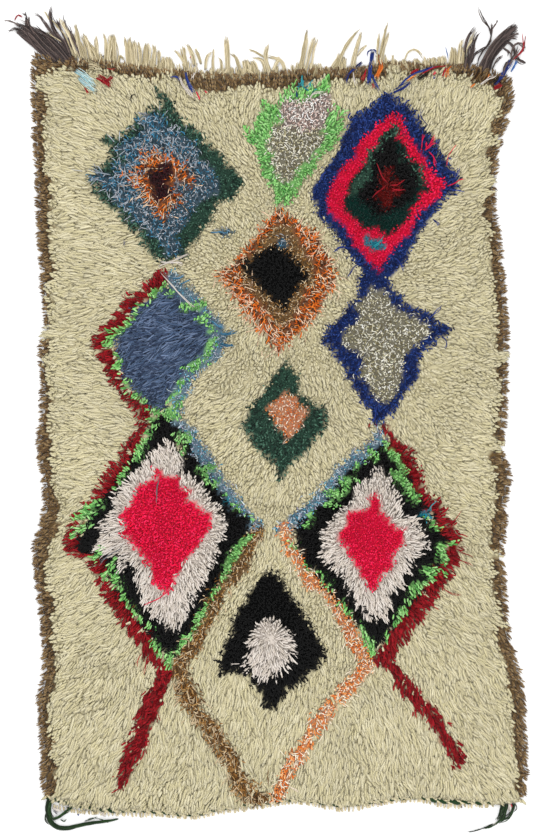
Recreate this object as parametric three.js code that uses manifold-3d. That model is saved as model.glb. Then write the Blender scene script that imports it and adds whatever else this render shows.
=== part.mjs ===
// A hand-knotted wool shag rug that lies flat on a floor, in millimetres, +Z up.
// The origin is on the floor under the middle of the rug, and +Y points to the fringed end.

import * as THREE from 'three';
import { mergeVertices } from 'three/addons/utils/BufferGeometryUtils.js';
import Module from 'manifold-3d';

const wasm = await Module();
wasm.setup();

// Driving dimensions
const BODY_WIDTH = 1250;
const BODY_LENGTH = 1930;
const PILE_HEIGHT = 22;
const LUMP = 3.4;
const ROW_RIDGE = 1.4;
const ROW_PITCH = 98;
const CLEARANCE = 0.3;

// The slab's grid, and how its rim rolls off
const CELLS_ACROSS = 24;
const CELLS_ALONG = 40;
const TRIM_DEPTH = 2;
const RIM_TUCK = 13;
const RIM_ROLL = 46;
const RIM_SHARE = 0.62;
const CORNER_REACH = 70;
const CORNER_PULL = 9;

// Locks at the rim
const SIDE_LOCKS = 50;
const BOTTOM_LOCKS = 28;
const TOP_LOCKS = 24;
const SIDE_LOCK = { halfWidth: 33, halfHeight: 5, reach: 14, root: 8, tip: 2, sweep: -9 };
const END_LOCK = { halfWidth: 34, halfHeight: 2.6, reach: 13, root: 10.9, tip: 9, sweep: 5 };
const LOCK_ROOT_DEPTH = 12;
const SIDE_LOCK_MARGIN = 0.022;
const END_LOCK_MARGIN = 0.065;

// Fringe, tassels, twining, cord and tail
const STRIP_WIDTH = 7;
const STRIP_HEIGHT = 6;
const TASSEL_BASE_WIDTH = 10;
const TASSEL_STEPS = 5;
const TAIL_STEPS = 4;
const FRINGE_STEPS = 3;
const STRAND_TIP_SHARE = 0.35;
const FRINGE_STRANDS = 110;
const FRINGE_START = -492;
const FRINGE_END = 500;
const FRINGE_RADIUS = 3.8;
const FRINGE_UNEVEN = 18;
const FRINGE_LEAN_LENGTH = 60;
const BUNCH = 4;
const BUNCH_GATHER = 0.4;
const TWINING_WIDTH = 8;
const TWINING_HEIGHT = 6.5;
const TWINING_TURN = 26;
const TWINING_WAIST = 0.72;
const TWINING_START = 0.004;
const TWINING_END = 0.985;
const TWINING_PARTS = 8;
const KNOT = { x: -562, y: -1013, halfWidth: 17, halfLength: 18, height: 15 };
const TAIL_KNOT = { x: 644, y: -1022, halfWidth: 18, halfLength: 11.6, height: 14 };
const LEFT_TASSEL_SPAN = [-600, -502];
const RIGHT_TASSEL_SPAN = [507, 620];
const CORD_DIAMETER = 10;
const CORD_STEPS = 16;
const FLOOR_GAP = 0.1;

// Outline of the slab: where each edge runs, from the rug as it lies
const LEFT_EDGE = [
  // y, x
  [-997, -583], [-841, -588], [-737, -595], [-672, -583], [-542, -587], [-347, -607], [-282, -592],
  [-217, -578], [-87, -596], [43, -586], [173, -591], [238, -577], [303, -583], [563, -599],
  [693, -605], [888, -611], [945, -606],
];
const RIGHT_EDGE = [
  // y, x
  [-1003, 670], [-919, 679], [-802, 672], [-737, 675], [-672, 662], [-542, 629], [-477, 624],
  [-347, 616], [-282, 623], [-217, 624], [-152, 636], [-87, 618], [43, 625], [238, 627],
  [433, 611], [563, 595], [693, 606], [823, 640], [888, 634],
];
const TOP_EDGE = [
  // x, y
  [-606, 947], [-511, 928], [-433, 926], [-303, 909], [-173, 894], [-17, 889], [40, 898],
  [129, 903], [243, 907], [329, 919], [441, 914], [555, 910], [636, 878],
];
const BOTTOM_EDGE = [
  // x, y
  [-583, -992], [-446, -1027], [-316, -1032], [-186, -1042], [-121, -1027], [9, -1010],
  [74, -1003], [204, -1017], [334, -1001], [399, -998], [464, -1007], [594, -1010], [670, -1003],
];

// How far the fringe reaches along the top end
const FRINGE_TIPS = [
  // x, y
  [-500, 1012], [-446, 995], [-381, 952], [-316, 970], [-251, 944], [-186, 962], [-121, 942],
  [-56, 938], [9, 972], [74, 932], [113, 1022], [150, 934], [204, 974], [269, 952], [334, 942],
  [399, 950], [464, 966], [505, 986],
];
const FRINGE_LEAN = [
  // x, sideways reach of the tip of a strand of FRINGE_LEAN_LENGTH
  [-492, -12], [-400, -32], [-250, -14], [0, -4], [250, 6], [420, 16], [500, 5],
];

// Tassel strands: root, bend and tip, with the half width at the root
const LEFT_TASSEL = [
  // root x, root y, bend x, bend y, tip x, tip y, radius
  [-592, 948, -640, 978, -676, 1001, 3.4],
  [-585, 949, -640, 992, -689, 1020, 3.4],
  [-578, 949, -630, 1000, -668, 1026, 3.4],
  [-571, 948, -620, 1006, -655, 1037, 3.4],
  [-564, 947, -608, 1008, -639, 1042, 3.4],
  [-557, 946, -592, 1002, -622, 1038, 3.4],
  [-549, 944, -572, 1034, -610, 1056, 3.0],
  [-541, 942, -558, 990, -573, 1026, 3.0],
  [-533, 941, -556, 1000, -553, 1079, 3.4],
  [-525, 939, -541, 990, -542, 1050, 3.0],
  [-517, 937, -530, 1000, -523, 1057, 3.0],
  [-509, 936, -515, 968, -514, 1000, 2.6],
];
const RIGHT_TASSEL = [
  // root x, root y, bend x, bend y, tip x, tip y, radius
  [512, 922, 520, 975, 548, 1024, 3.2],
  [521, 922, 534, 965, 560, 1006, 3.2],
  [530, 921, 538, 945, 552, 968, 3.0],
  [542, 920, 616, 990, 545, 1079, 2.8],
  [554, 918, 588, 958, 626, 1008, 3.4],
  [561, 916, 598, 960, 642, 1020, 3.4],
  [568, 914, 608, 958, 654, 1028, 3.4],
  [575, 911, 618, 954, 663, 1014, 3.4],
  [582, 908, 626, 950, 668, 1000, 3.4],
  [589, 904, 634, 944, 674, 984, 3.2],
  [596, 901, 636, 934, 664, 958, 2.8],
  [604, 897, 640, 922, 680, 940, 3.0],
  [612, 894, 645, 908, 677, 917, 3.0],
];
const GREEN_TAIL = [
  // root x, root y, bend x, bend y, tip x, tip y, radius
  [631, -1024, 612, -1044, 596, -1052, 3.2],
  [633, -1028, 612, -1052, 582, -1064, 3.4],
  [637, -1030, 600, -1074, 518, -1083, 2.4],
  [642, -1030, 632, -1050, 612, -1070, 3.2],
  [648, -1030, 646, -1048, 632, -1064, 3.2],
  [653, -1028, 660, -1042, 654, -1056, 2.8],
  [657, -1024, 668, -1032, 670, -1046, 2.6],
];

// The loose cord, point by point along its middle, from the knot back to the twining
const CORD_ROUTE = [
  // x, y
  [-565, -1031.7], [-566, -1044], [-560, -1058], [-546, -1068], [-527, -1072], [-505, -1069],
  [-482, -1063], [-452, -1058], [-422, -1054], [-403, -1051], [-385, -1047.2],
];

const clamp01 = (value) => Math.min(1, Math.max(0, value));
const smooth = (value) => value * value * (3 - 2 * value);
const mix = (a, b, share) => a + (b - a) * share;
const wrap = (value) => value - Math.floor(value);

// A repeatable uneven share from 0 to 1 for the item i of the kind k
function uneven(i, k) {
  return wrap(Math.sin(i * 12.9898 + k * 78.233) * 43758.5453);
}

// A value read along a table of [place, value] rows, as a smooth curve through them
function along(table, place) {
  const last = table.length - 1;
  let row = 0;
  while (row < last - 1 && place > table[row + 1][0]) row += 1;
  const [x0, y0] = table[row];
  const [x1, y1] = table[row + 1];
  const before = table[Math.max(row - 1, 0)];
  const after = table[Math.min(row + 2, last)];
  const slope0 = (y1 - before[1]) / (x1 - before[0]);
  const slope1 = (after[1] - y0) / (after[0] - x0);
  const t = clamp01((place - x0) / (x1 - x0));
  const rise = y1 - y0;
  const step = x1 - x0;
  const bend0 = slope0 * step - rise;
  const bend1 = rise - slope1 * step;
  return y0 + rise * t + t * (1 - t) * (bend0 * (1 - t) + bend1 * t);
}

// The point of the rug's outline patch at the shares u across and v along
function patch(u, v) {
  let x = mix(-BODY_WIDTH / 2, BODY_WIDTH / 2, u);
  let y = 0;
  for (let pass = 0; pass < 4; pass += 1) {
    y = mix(along(BOTTOM_EDGE, x), along(TOP_EDGE, x), v);
    x = mix(along(LEFT_EDGE, y), along(RIGHT_EDGE, y), u);
  }
  return new THREE.Vector2(x, y);
}

// The slab's faceted bottom or top end between its grid points, and the way out from it
function endPoint(u, end) {
  const cell = Math.min(Math.floor(clamp01(u) * CELLS_ACROSS), CELLS_ACROSS - 1);
  const a = slabOutline(cell / CELLS_ACROSS, end);
  const b = slabOutline((cell + 1) / CELLS_ACROSS, end);
  const share = u * CELLS_ACROSS - cell;
  const run = b.clone().sub(a).normalize();
  const out = new THREE.Vector2(-run.y, run.x).multiplyScalar(end === 1 ? 1 : -1);
  return { at: a.lerp(b, share), out };
}

// The outline on the floor, with its corners drawn in
function slabOutline(u, v) {
  const across = Math.min(u, 1 - u) * BODY_WIDTH;
  const length = Math.min(v, 1 - v) * BODY_LENGTH;
  const near = clamp01(1 - Math.hypot(across, length) / CORNER_REACH);
  const pull = CORNER_PULL * near * near;
  const shiftU = (u < 0.5 ? pull : -pull) / BODY_WIDTH;
  const shiftV = (v < 0.5 ? pull : -pull) / BODY_LENGTH;
  return patch(u + shiftU, v + shiftV);
}

// Height of the pile's top over the floor
function pileTop(x, y) {
  const broad = Math.sin(x / 71 + 1.4 * Math.sin(y / 133)) * Math.sin(y / 58 + 1.1 * Math.sin(x / 97));
  const small = Math.sin(x / 29 + y / 41) * Math.sin(y / 33 - x / 53);
  const rows = Math.cos(2 * Math.PI * y / ROW_PITCH + Math.sin(x / 120));
  return PILE_HEIGHT + LUMP * (0.7 * broad + 0.5 * small) + ROW_RIDGE * rows;
}

// Closed three.js geometry to a solid for joining, and back
function toSolid(geometry) {
  geometry.deleteAttribute('normal');
  geometry.deleteAttribute('uv');
  const merged = mergeVertices(geometry, 0.001);
  const vertProperties = new Float32Array(merged.attributes.position.array);
  const triVerts = new Uint32Array(merged.index.array);
  return new wasm.Manifold(new wasm.Mesh({ numProp: 3, vertProperties, triVerts }));
}

function toGeometry(solid) {
  const { vertProperties, triVerts } = solid.getMesh();
  const geometry = new THREE.BufferGeometry();
  geometry.setAttribute('position', new THREE.BufferAttribute(vertProperties, 3));
  geometry.setIndex(new THREE.BufferAttribute(triVerts, 1));
  return geometry;
}

// A first solid with geometries joined on to it
function withAdded(first, geometries) {
  return toGeometry(geometries.reduce((sum, next) => sum.add(toSolid(next)), first));
}

// Moves each point of a geometry to where place(point) says
function reshape(geometry, place) {
  const position = geometry.attributes.position;
  const point = new THREE.Vector3();
  for (let i = 0; i < position.count; i += 1) {
    point.fromBufferAttribute(position, i);
    const moved = place(point);
    position.setXYZ(i, moved.x, moved.y, moved.z);
  }
  return geometry;
}

// The slab: lumpy on top, rolled off at the rim, and trimmed flat underneath
function slab() {
  const box = new THREE.BoxGeometry(1, 1, 1, CELLS_ACROSS, CELLS_ALONG, 3);
  const layers = [-TRIM_DEPTH, 0, 0.5, 1];
  const body = reshape(box, (point) => {
    const u = point.x + 0.5;
    const v = point.y + 0.5;
    const layer = layers[Math.round((point.z + 0.5) * 3)];
    const level = Math.max(layer, 0);
    const tuck = RIM_TUCK * level * level;
    const inU = mix(tuck / BODY_WIDTH, 1 - tuck / BODY_WIDTH, u);
    const inV = mix(tuck / BODY_LENGTH, 1 - tuck / BODY_LENGTH, v);
    const at = slabOutline(inU, inV);
    const rim = Math.min(u * BODY_WIDTH, (1 - u) * BODY_WIDTH, v * BODY_LENGTH, (1 - v) * BODY_LENGTH);
    const roll = mix(RIM_SHARE, 1, smooth(clamp01(rim / RIM_ROLL)));
    return new THREE.Vector3(at.x, at.y, layer < 0 ? layer : layer * roll * pileTop(at.x, at.y));
  });
  const below = new THREE.BoxGeometry(2 * BODY_WIDTH, 2 * BODY_LENGTH, 4 * TRIM_DEPTH);
  below.translate(0, 0, -2 * TRIM_DEPTH);
  return toSolid(body).subtract(toSolid(below));
}

// One lock of pile at the rim: a flat cone that droops outward from inside the slab
function rimLock(at, out, index, shape) {
  const length = LOCK_ROOT_DEPTH + shape.reach * mix(0.55, 1.2, uneven(index, 1));
  const sweep = shape.sweep * mix(-0.4, 1.8, uneven(index, 2));
  const halfWidth = shape.halfWidth * mix(0.75, 1.1, uneven(index, 5));
  const aside = new THREE.Vector2(out.y, -out.x);
  const cone = new THREE.ConeGeometry(1, 1, 4);
  return reshape(cone, (point) => {
    const t = point.y + 0.5;
    const outward = t * length - LOCK_ROOT_DEPTH;
    const side = point.x * halfWidth + sweep * t;
    const z = mix(shape.root, shape.tip, t) + point.z * shape.halfHeight;
    return new THREE.Vector3(
      at.x + out.x * outward + aside.x * side,
      at.y + out.y * outward + aside.y * side,
      z,
    );
  });
}

function rimLocks() {
  const locks = [];
  for (const side of [0, 1]) {
    const out = new THREE.Vector2(side === 1 ? 1 : -1, 0);
    for (let i = 0; i < SIDE_LOCKS; i += 1) {
      const share = (i + 0.5 + 0.4 * (uneven(i, 3 + side) - 0.5)) / SIDE_LOCKS;
      const v = mix(SIDE_LOCK_MARGIN, 1 - SIDE_LOCK_MARGIN, share);
      locks.push(rimLock(slabOutline(side, v), out, i + 100 * side, SIDE_LOCK));
    }
  }
  for (const [end, count] of [[0, BOTTOM_LOCKS], [1, TOP_LOCKS]]) {
    for (let i = 0; i < count; i += 1) {
      const { at, out } = endPoint(mix(END_LOCK_MARGIN, 1 - END_LOCK_MARGIN, i / (count - 1)), end);
      locks.push(rimLock(at, out, i + 200 + 100 * end, END_LOCK));
    }
  }
  return locks;
}

// A strand that lies level on the floor along a bent route, wide at its root
function strand([rootX, rootY, bendX, bendY, tipX, tipY, radius], steps) {
  const route = new THREE.QuadraticBezierCurve(
    new THREE.Vector2(rootX, rootY),
    new THREE.Vector2(bendX, bendY),
    new THREE.Vector2(tipX, tipY),
  );
  const rod = new THREE.CylinderGeometry(STRAND_TIP_SHARE, 1, 1, 3, steps);
  return reshape(rod, (point) => {
    const t = point.y + 0.5;
    const at = route.getPoint(t);
    const way = route.getTangent(t);
    const floor = 0.5 * mix(1, STRAND_TIP_SHARE, t);
    return new THREE.Vector3(
      at.x + way.y * point.x * radius,
      at.y - way.x * point.x * radius,
      (point.z + floor) * radius,
    );
  });
}

// The shares across from u0 to u1 with the slab's grid lines between them, each cell in parts
function stripShares(u0, u1, parts) {
  const lines = [u0];
  for (let line = Math.ceil(u0 * CELLS_ACROSS + 0.1); line < u1 * CELLS_ACROSS - 0.1; line += 1) {
    lines.push(line / CELLS_ACROSS);
  }
  lines.push(u1);
  const shares = [u0];
  for (let i = 1; i < lines.length; i += 1) {
    for (let part = 1; part <= parts; part += 1) shares.push(mix(lines[i - 1], lines[i], part / parts));
  }
  return shares;
}

// A strip along an end of the slab, from the share u0 to u1, that keeps the clearance to it
function strip(u0, u1, end, width, heightAt, parts) {
  const shares = stripShares(u0, u1, parts);
  const cells = shares.length - 1;
  const box = new THREE.BoxGeometry(1, 1, 1, cells, 1, 1);
  const turn = end === 1 ? 1 : -1;
  return reshape(box, (point) => {
    const u = shares[Math.round((point.x + 0.5) * cells)];
    const { at, out } = endPoint(u, end);
    const reach = CLEARANCE + (point.y * turn + 0.5) * width;
    return new THREE.Vector3(
      at.x + out.x * reach,
      at.y + out.y * reach,
      (point.z + 0.5) * heightAt(u),
    );
  });
}

// A low round knot of yarn, uneven about its middle and flat on the floor
function knot({ x, y, halfWidth, halfLength, height }) {
  const ball = new THREE.SphereGeometry(1, 12, 8);
  const sunk = 0.45;
  return reshape(ball, (point) => {
    const bump = 1 + 0.12 * Math.sin(3 * point.x + 4 * point.y) * Math.sin(3 * point.z + 2 * point.x);
    return new THREE.Vector3(
      x + point.x * halfWidth * bump,
      y + point.y * halfLength * bump,
      Math.max(0, (point.z * bump + sunk) * height / (1 + sunk)),
    );
  });
}

const shareAcross = (x) => (x - slabOutline(0, 1).x) / (slabOutline(1, 1).x - slabOutline(0, 1).x);

function fringeStrand(index) {
  const rootX = mix(FRINGE_START, FRINGE_END, (index + 0.5) / FRINGE_STRANDS);
  const { at } = endPoint(shareAcross(rootX), 1);
  const middle = mix(FRINGE_START, FRINGE_END, (Math.floor(index / BUNCH) + 0.5) * BUNCH / FRINGE_STRANDS);
  const gathered = mix(rootX, middle, BUNCH_GATHER);
  const tipY = along(FRINGE_TIPS, rootX) - FRINGE_UNEVEN * uneven(index, 7) * uneven(index, 8);
  const tipX = gathered + along(FRINGE_LEAN, rootX) * (tipY - at.y) / FRINGE_LEAN_LENGTH;
  const bendX = mix(at.x, tipX, 0.35);
  const bendY = mix(at.y, tipY, 0.6);
  return strand([at.x, at.y + CLEARANCE + 2, bendX, bendY, tipX, tipY, FRINGE_RADIUS], FRINGE_STEPS);
}

function warpFringe() {
  const u0 = shareAcross(FRINGE_START);
  const u1 = shareAcross(FRINGE_END);
  const base = strip(u0, u1, 1, STRIP_WIDTH, () => STRIP_HEIGHT, 1);
  const strands = [];
  for (let i = 0; i < FRINGE_STRANDS; i += 1) strands.push(fringeStrand(i));
  return withAdded(toSolid(base), strands);
}

function cornerTassel(rows, [fromX, toX]) {
  const base = strip(shareAcross(fromX), shareAcross(toX), 1, TASSEL_BASE_WIDTH, () => STRIP_HEIGHT, 1);
  return withAdded(toSolid(base), rows.map((row) => strand(row, TASSEL_STEPS)));
}

// The twined cord: its turns swell and sink along the bottom end, with the knot at its left
function edgeTwining() {
  const turns = Math.round(BODY_WIDTH / TWINING_TURN);
  const swell = (u) => TWINING_HEIGHT * mix(TWINING_WAIST, 1, 0.5 + 0.5 * Math.cos(2 * Math.PI * turns * u));
  const cord = strip(TWINING_START, TWINING_END, 0, TWINING_WIDTH, swell, TWINING_PARTS);
  return withAdded(toSolid(cord), [knot(KNOT)]);
}

function greenCord() {
  const radius = CORD_DIAMETER / 2;
  const points = CORD_ROUTE.map(([x, y]) => new THREE.Vector3(x, y, radius + FLOOR_GAP));
  const section = new THREE.Shape();
  section.absarc(0, 0, radius, 0, 2 * Math.PI, false);
  return new THREE.ExtrudeGeometry(section, {
    extrudePath: new THREE.CatmullRomCurve3(points),
    steps: CORD_STEPS,
    curveSegments: 8,
    bevelEnabled: false,
  });
}

function greenTail() {
  return withAdded(toSolid(knot(TAIL_KNOT)), GREEN_TAIL.map((row) => strand(row, TAIL_STEPS)));
}

// Wool finishes
function wool(colour) {
  return new THREE.MeshStandardMaterial({ color: colour, roughness: 0.95, metalness: 0 });
}

const ivory = wool(0xc0b896);
const warpIvory = wool(0xd2ccbb);
const darkBrown = wool(0x584c47);
const green = wool(0x233c23);
const greenAndWhite = wool(0x6f7f66);

const rug = new THREE.Group();

function add(name, geometry, material) {
  const mesh = new THREE.Mesh(geometry, material);
  mesh.name = name;
  rug.add(mesh);
}

add('shag_rug', withAdded(slab(), rimLocks()), ivory);
add('warp_fringe', warpFringe(), warpIvory);
add('corner_tassel_left', cornerTassel(LEFT_TASSEL, LEFT_TASSEL_SPAN), darkBrown);
add('corner_tassel_right', cornerTassel(RIGHT_TASSEL, RIGHT_TASSEL_SPAN), darkBrown);
add('edge_twining', edgeTwining(), greenAndWhite);
add('green_cord', greenCord(), green);
add('green_tail', greenTail(), green);

export default rug;
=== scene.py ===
"""A hand-knotted wool shag rug with lozenges, laid flat on a white floor and seen from straight above."""

import math

import bmesh
import bpy
import numpy as np
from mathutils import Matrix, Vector


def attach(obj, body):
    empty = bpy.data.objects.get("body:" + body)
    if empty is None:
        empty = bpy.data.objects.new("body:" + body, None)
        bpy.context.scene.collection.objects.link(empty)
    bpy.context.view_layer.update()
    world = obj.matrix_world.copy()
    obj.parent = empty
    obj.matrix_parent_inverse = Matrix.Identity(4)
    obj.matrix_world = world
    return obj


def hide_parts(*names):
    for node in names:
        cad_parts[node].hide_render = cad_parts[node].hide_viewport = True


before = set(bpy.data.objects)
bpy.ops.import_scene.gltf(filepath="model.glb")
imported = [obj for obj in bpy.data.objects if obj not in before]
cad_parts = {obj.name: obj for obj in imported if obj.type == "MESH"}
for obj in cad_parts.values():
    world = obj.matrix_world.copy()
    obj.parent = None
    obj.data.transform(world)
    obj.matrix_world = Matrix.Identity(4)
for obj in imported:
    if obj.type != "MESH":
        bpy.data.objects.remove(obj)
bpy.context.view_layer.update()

MM = 0.001
PIXEL = 2.6
PHOTO_MIDDLE = (266.5, 416.5)


def spot(place):
    """Where a place on the photograph, in its pixels, is on the rug in millimetres."""
    return ((place[0] - PHOTO_MIDDLE[0]) * PIXEL, (PHOTO_MIDDLE[1] - place[1]) * PIXEL)


# Camera, straight above the middle of the rug
CAMERA_HEIGHT = 5.125
camera_data = bpy.data.cameras.new("camera")
camera_data.lens = 85
camera_data.sensor_width = 36
camera_data.dof.use_dof = False
camera = bpy.data.objects.new("camera", camera_data)
camera.location = (0, 0, CAMERA_HEIGHT)
bpy.context.scene.collection.objects.link(camera)
bpy.context.scene.camera = camera


# Outline of the rug, in millimetres, as the frame's slab has it
LEFT_EDGE = [
    (-997, -583), (-841, -588), (-737, -595), (-672, -583), (-542, -587), (-347, -607),
    (-282, -592), (-217, -578), (-87, -596), (43, -586), (173, -591), (238, -577),
    (303, -583), (563, -599), (693, -605), (888, -611), (945, -606),
]
RIGHT_EDGE = [
    (-1003, 670), (-919, 679), (-802, 672), (-737, 675), (-672, 662), (-542, 629),
    (-477, 624), (-347, 616), (-282, 623), (-217, 624), (-152, 636), (-87, 618),
    (43, 625), (238, 627), (433, 611), (563, 595), (693, 606), (823, 640), (888, 634),
]
TOP_EDGE = [
    (-606, 947), (-511, 928), (-433, 926), (-303, 909), (-173, 894), (-17, 889),
    (40, 898), (129, 903), (243, 907), (329, 919), (441, 914), (555, 910), (636, 878),
]
BOTTOM_EDGE = [
    (-583, -992), (-446, -1027), (-316, -1032), (-186, -1042), (-121, -1027), (9, -1010),
    (74, -1003), (204, -1017), (334, -1001), (399, -998), (464, -1007), (594, -1010),
    (670, -1003),
]
PILE_HEIGHT = 22
RIM_ROLL = 46
RIM_SHARE = 0.62


def along(table, place):
    """Values read along a table of (place, value) rows, as a smooth curve through them."""
    xs, ys = np.array(table, float).T
    place = np.asarray(place, float)
    row = np.clip(np.searchsorted(xs, place) - 1, 0, len(xs) - 2)
    slopes = np.gradient(ys, xs)
    slopes[1:-1] = (ys[2:] - ys[:-2]) / (xs[2:] - xs[:-2])
    step = xs[row + 1] - xs[row]
    rise = ys[row + 1] - ys[row]
    t = np.clip((place - xs[row]) / step, 0, 1)
    bend0 = slopes[row] * step - rise
    bend1 = rise - slopes[row + 1] * step
    return ys[row] + rise * t + t * (1 - t) * (bend0 * (1 - t) + bend1 * t)


def smooth(value):
    value = np.clip(value, 0, 1)
    return value * value * (3 - 2 * value)


def rim_roll(rim):
    """Share of the pile's height at a distance from the rug's rim, where it rolls down."""
    return RIM_SHARE + (1 - RIM_SHARE) * smooth(rim / RIM_ROLL)


def edge_distances(x, y):
    """How far places are in from the left, right, bottom and top edges."""
    return np.array([
        x - along(LEFT_EDGE, y),
        along(RIGHT_EDGE, y) - x,
        y - along(BOTTOM_EDGE, x),
        along(TOP_EDGE, x) - y,
    ])


def pile_top(x, y):
    """Height of the pile's top over the floor, lumpy as the frame's slab is."""
    broad = np.sin(x / 71 + 1.4 * np.sin(y / 133)) * np.sin(y / 58 + 1.1 * np.sin(x / 97))
    small = np.sin(x / 29 + y / 41) * np.sin(y / 33 - x / 53)
    rows = np.cos(2 * np.pi * y / 98 + np.sin(x / 120))
    return PILE_HEIGHT + 2.4 * broad + 1.7 * small + 1.4 * rows


NOISE_CELLS = 97
noise_table = np.random.default_rng(7).random((8, NOISE_CELLS, NOISE_CELLS))


def unevenness(x, y, pitch, kind):
    """Smooth seeded unevenness from -1 to 1, with bumps about a pitch apart."""
    table = noise_table[kind]
    u = np.asarray(x, float) / pitch + 500
    v = np.asarray(y, float) / pitch + 500
    i = np.floor(u).astype(int)
    j = np.floor(v).astype(int)
    s = smooth(u - i)
    t = smooth(v - j)
    i0, i1 = i % NOISE_CELLS, (i + 1) % NOISE_CELLS
    j0, j1 = j % NOISE_CELLS, (j + 1) % NOISE_CELLS
    low = table[i0, j0] * (1 - s) + table[i1, j0] * s
    high = table[i0, j1] * (1 - s) + table[i1, j1] * s
    return 2 * (low * (1 - t) + high * t) - 1


def from_screen(colour):
    """A colour picked on screen, 0 to 255, as the light it stands for."""
    share = np.array(colour, float) / 255
    return np.where(share <= 0.04045, share / 12.92, ((share + 0.055) / 1.055) ** 2.4)


class Yarn:
    """How one yarn looks: its shades, and how its locks stand in the pile."""

    def __init__(self, shades, reach=30, height=17, width=4.6, curl=1.5, spread=14, clump=0.5,
                 outward=0.0, angle=None, tone=0.08, spacing=4.8, fat=0.6, painted_gap_shade=0.8,
                 clump_pitch=14, clump_spread=0, wild=0.0, yields=1.0):
        self.shades = np.array([from_screen(shade) for shade in shades])
        self.reach = reach
        self.height = height
        self.width = width
        self.curl = curl
        self.spread = spread
        self.clump = clump
        self.outward = outward
        self.angle = angle
        self.tone = tone
        self.spacing = spacing
        self.fat = fat
        # Share by which the yarn's colour is darkened on the foundation under it: painted shade for the
        # gaps between the locks.
        self.painted_gap_shade = painted_gap_shade
        self.clump_pitch = clump_pitch
        self.clump_spread = clump_spread
        self.wild = wild
        self.yields = yields


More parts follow.
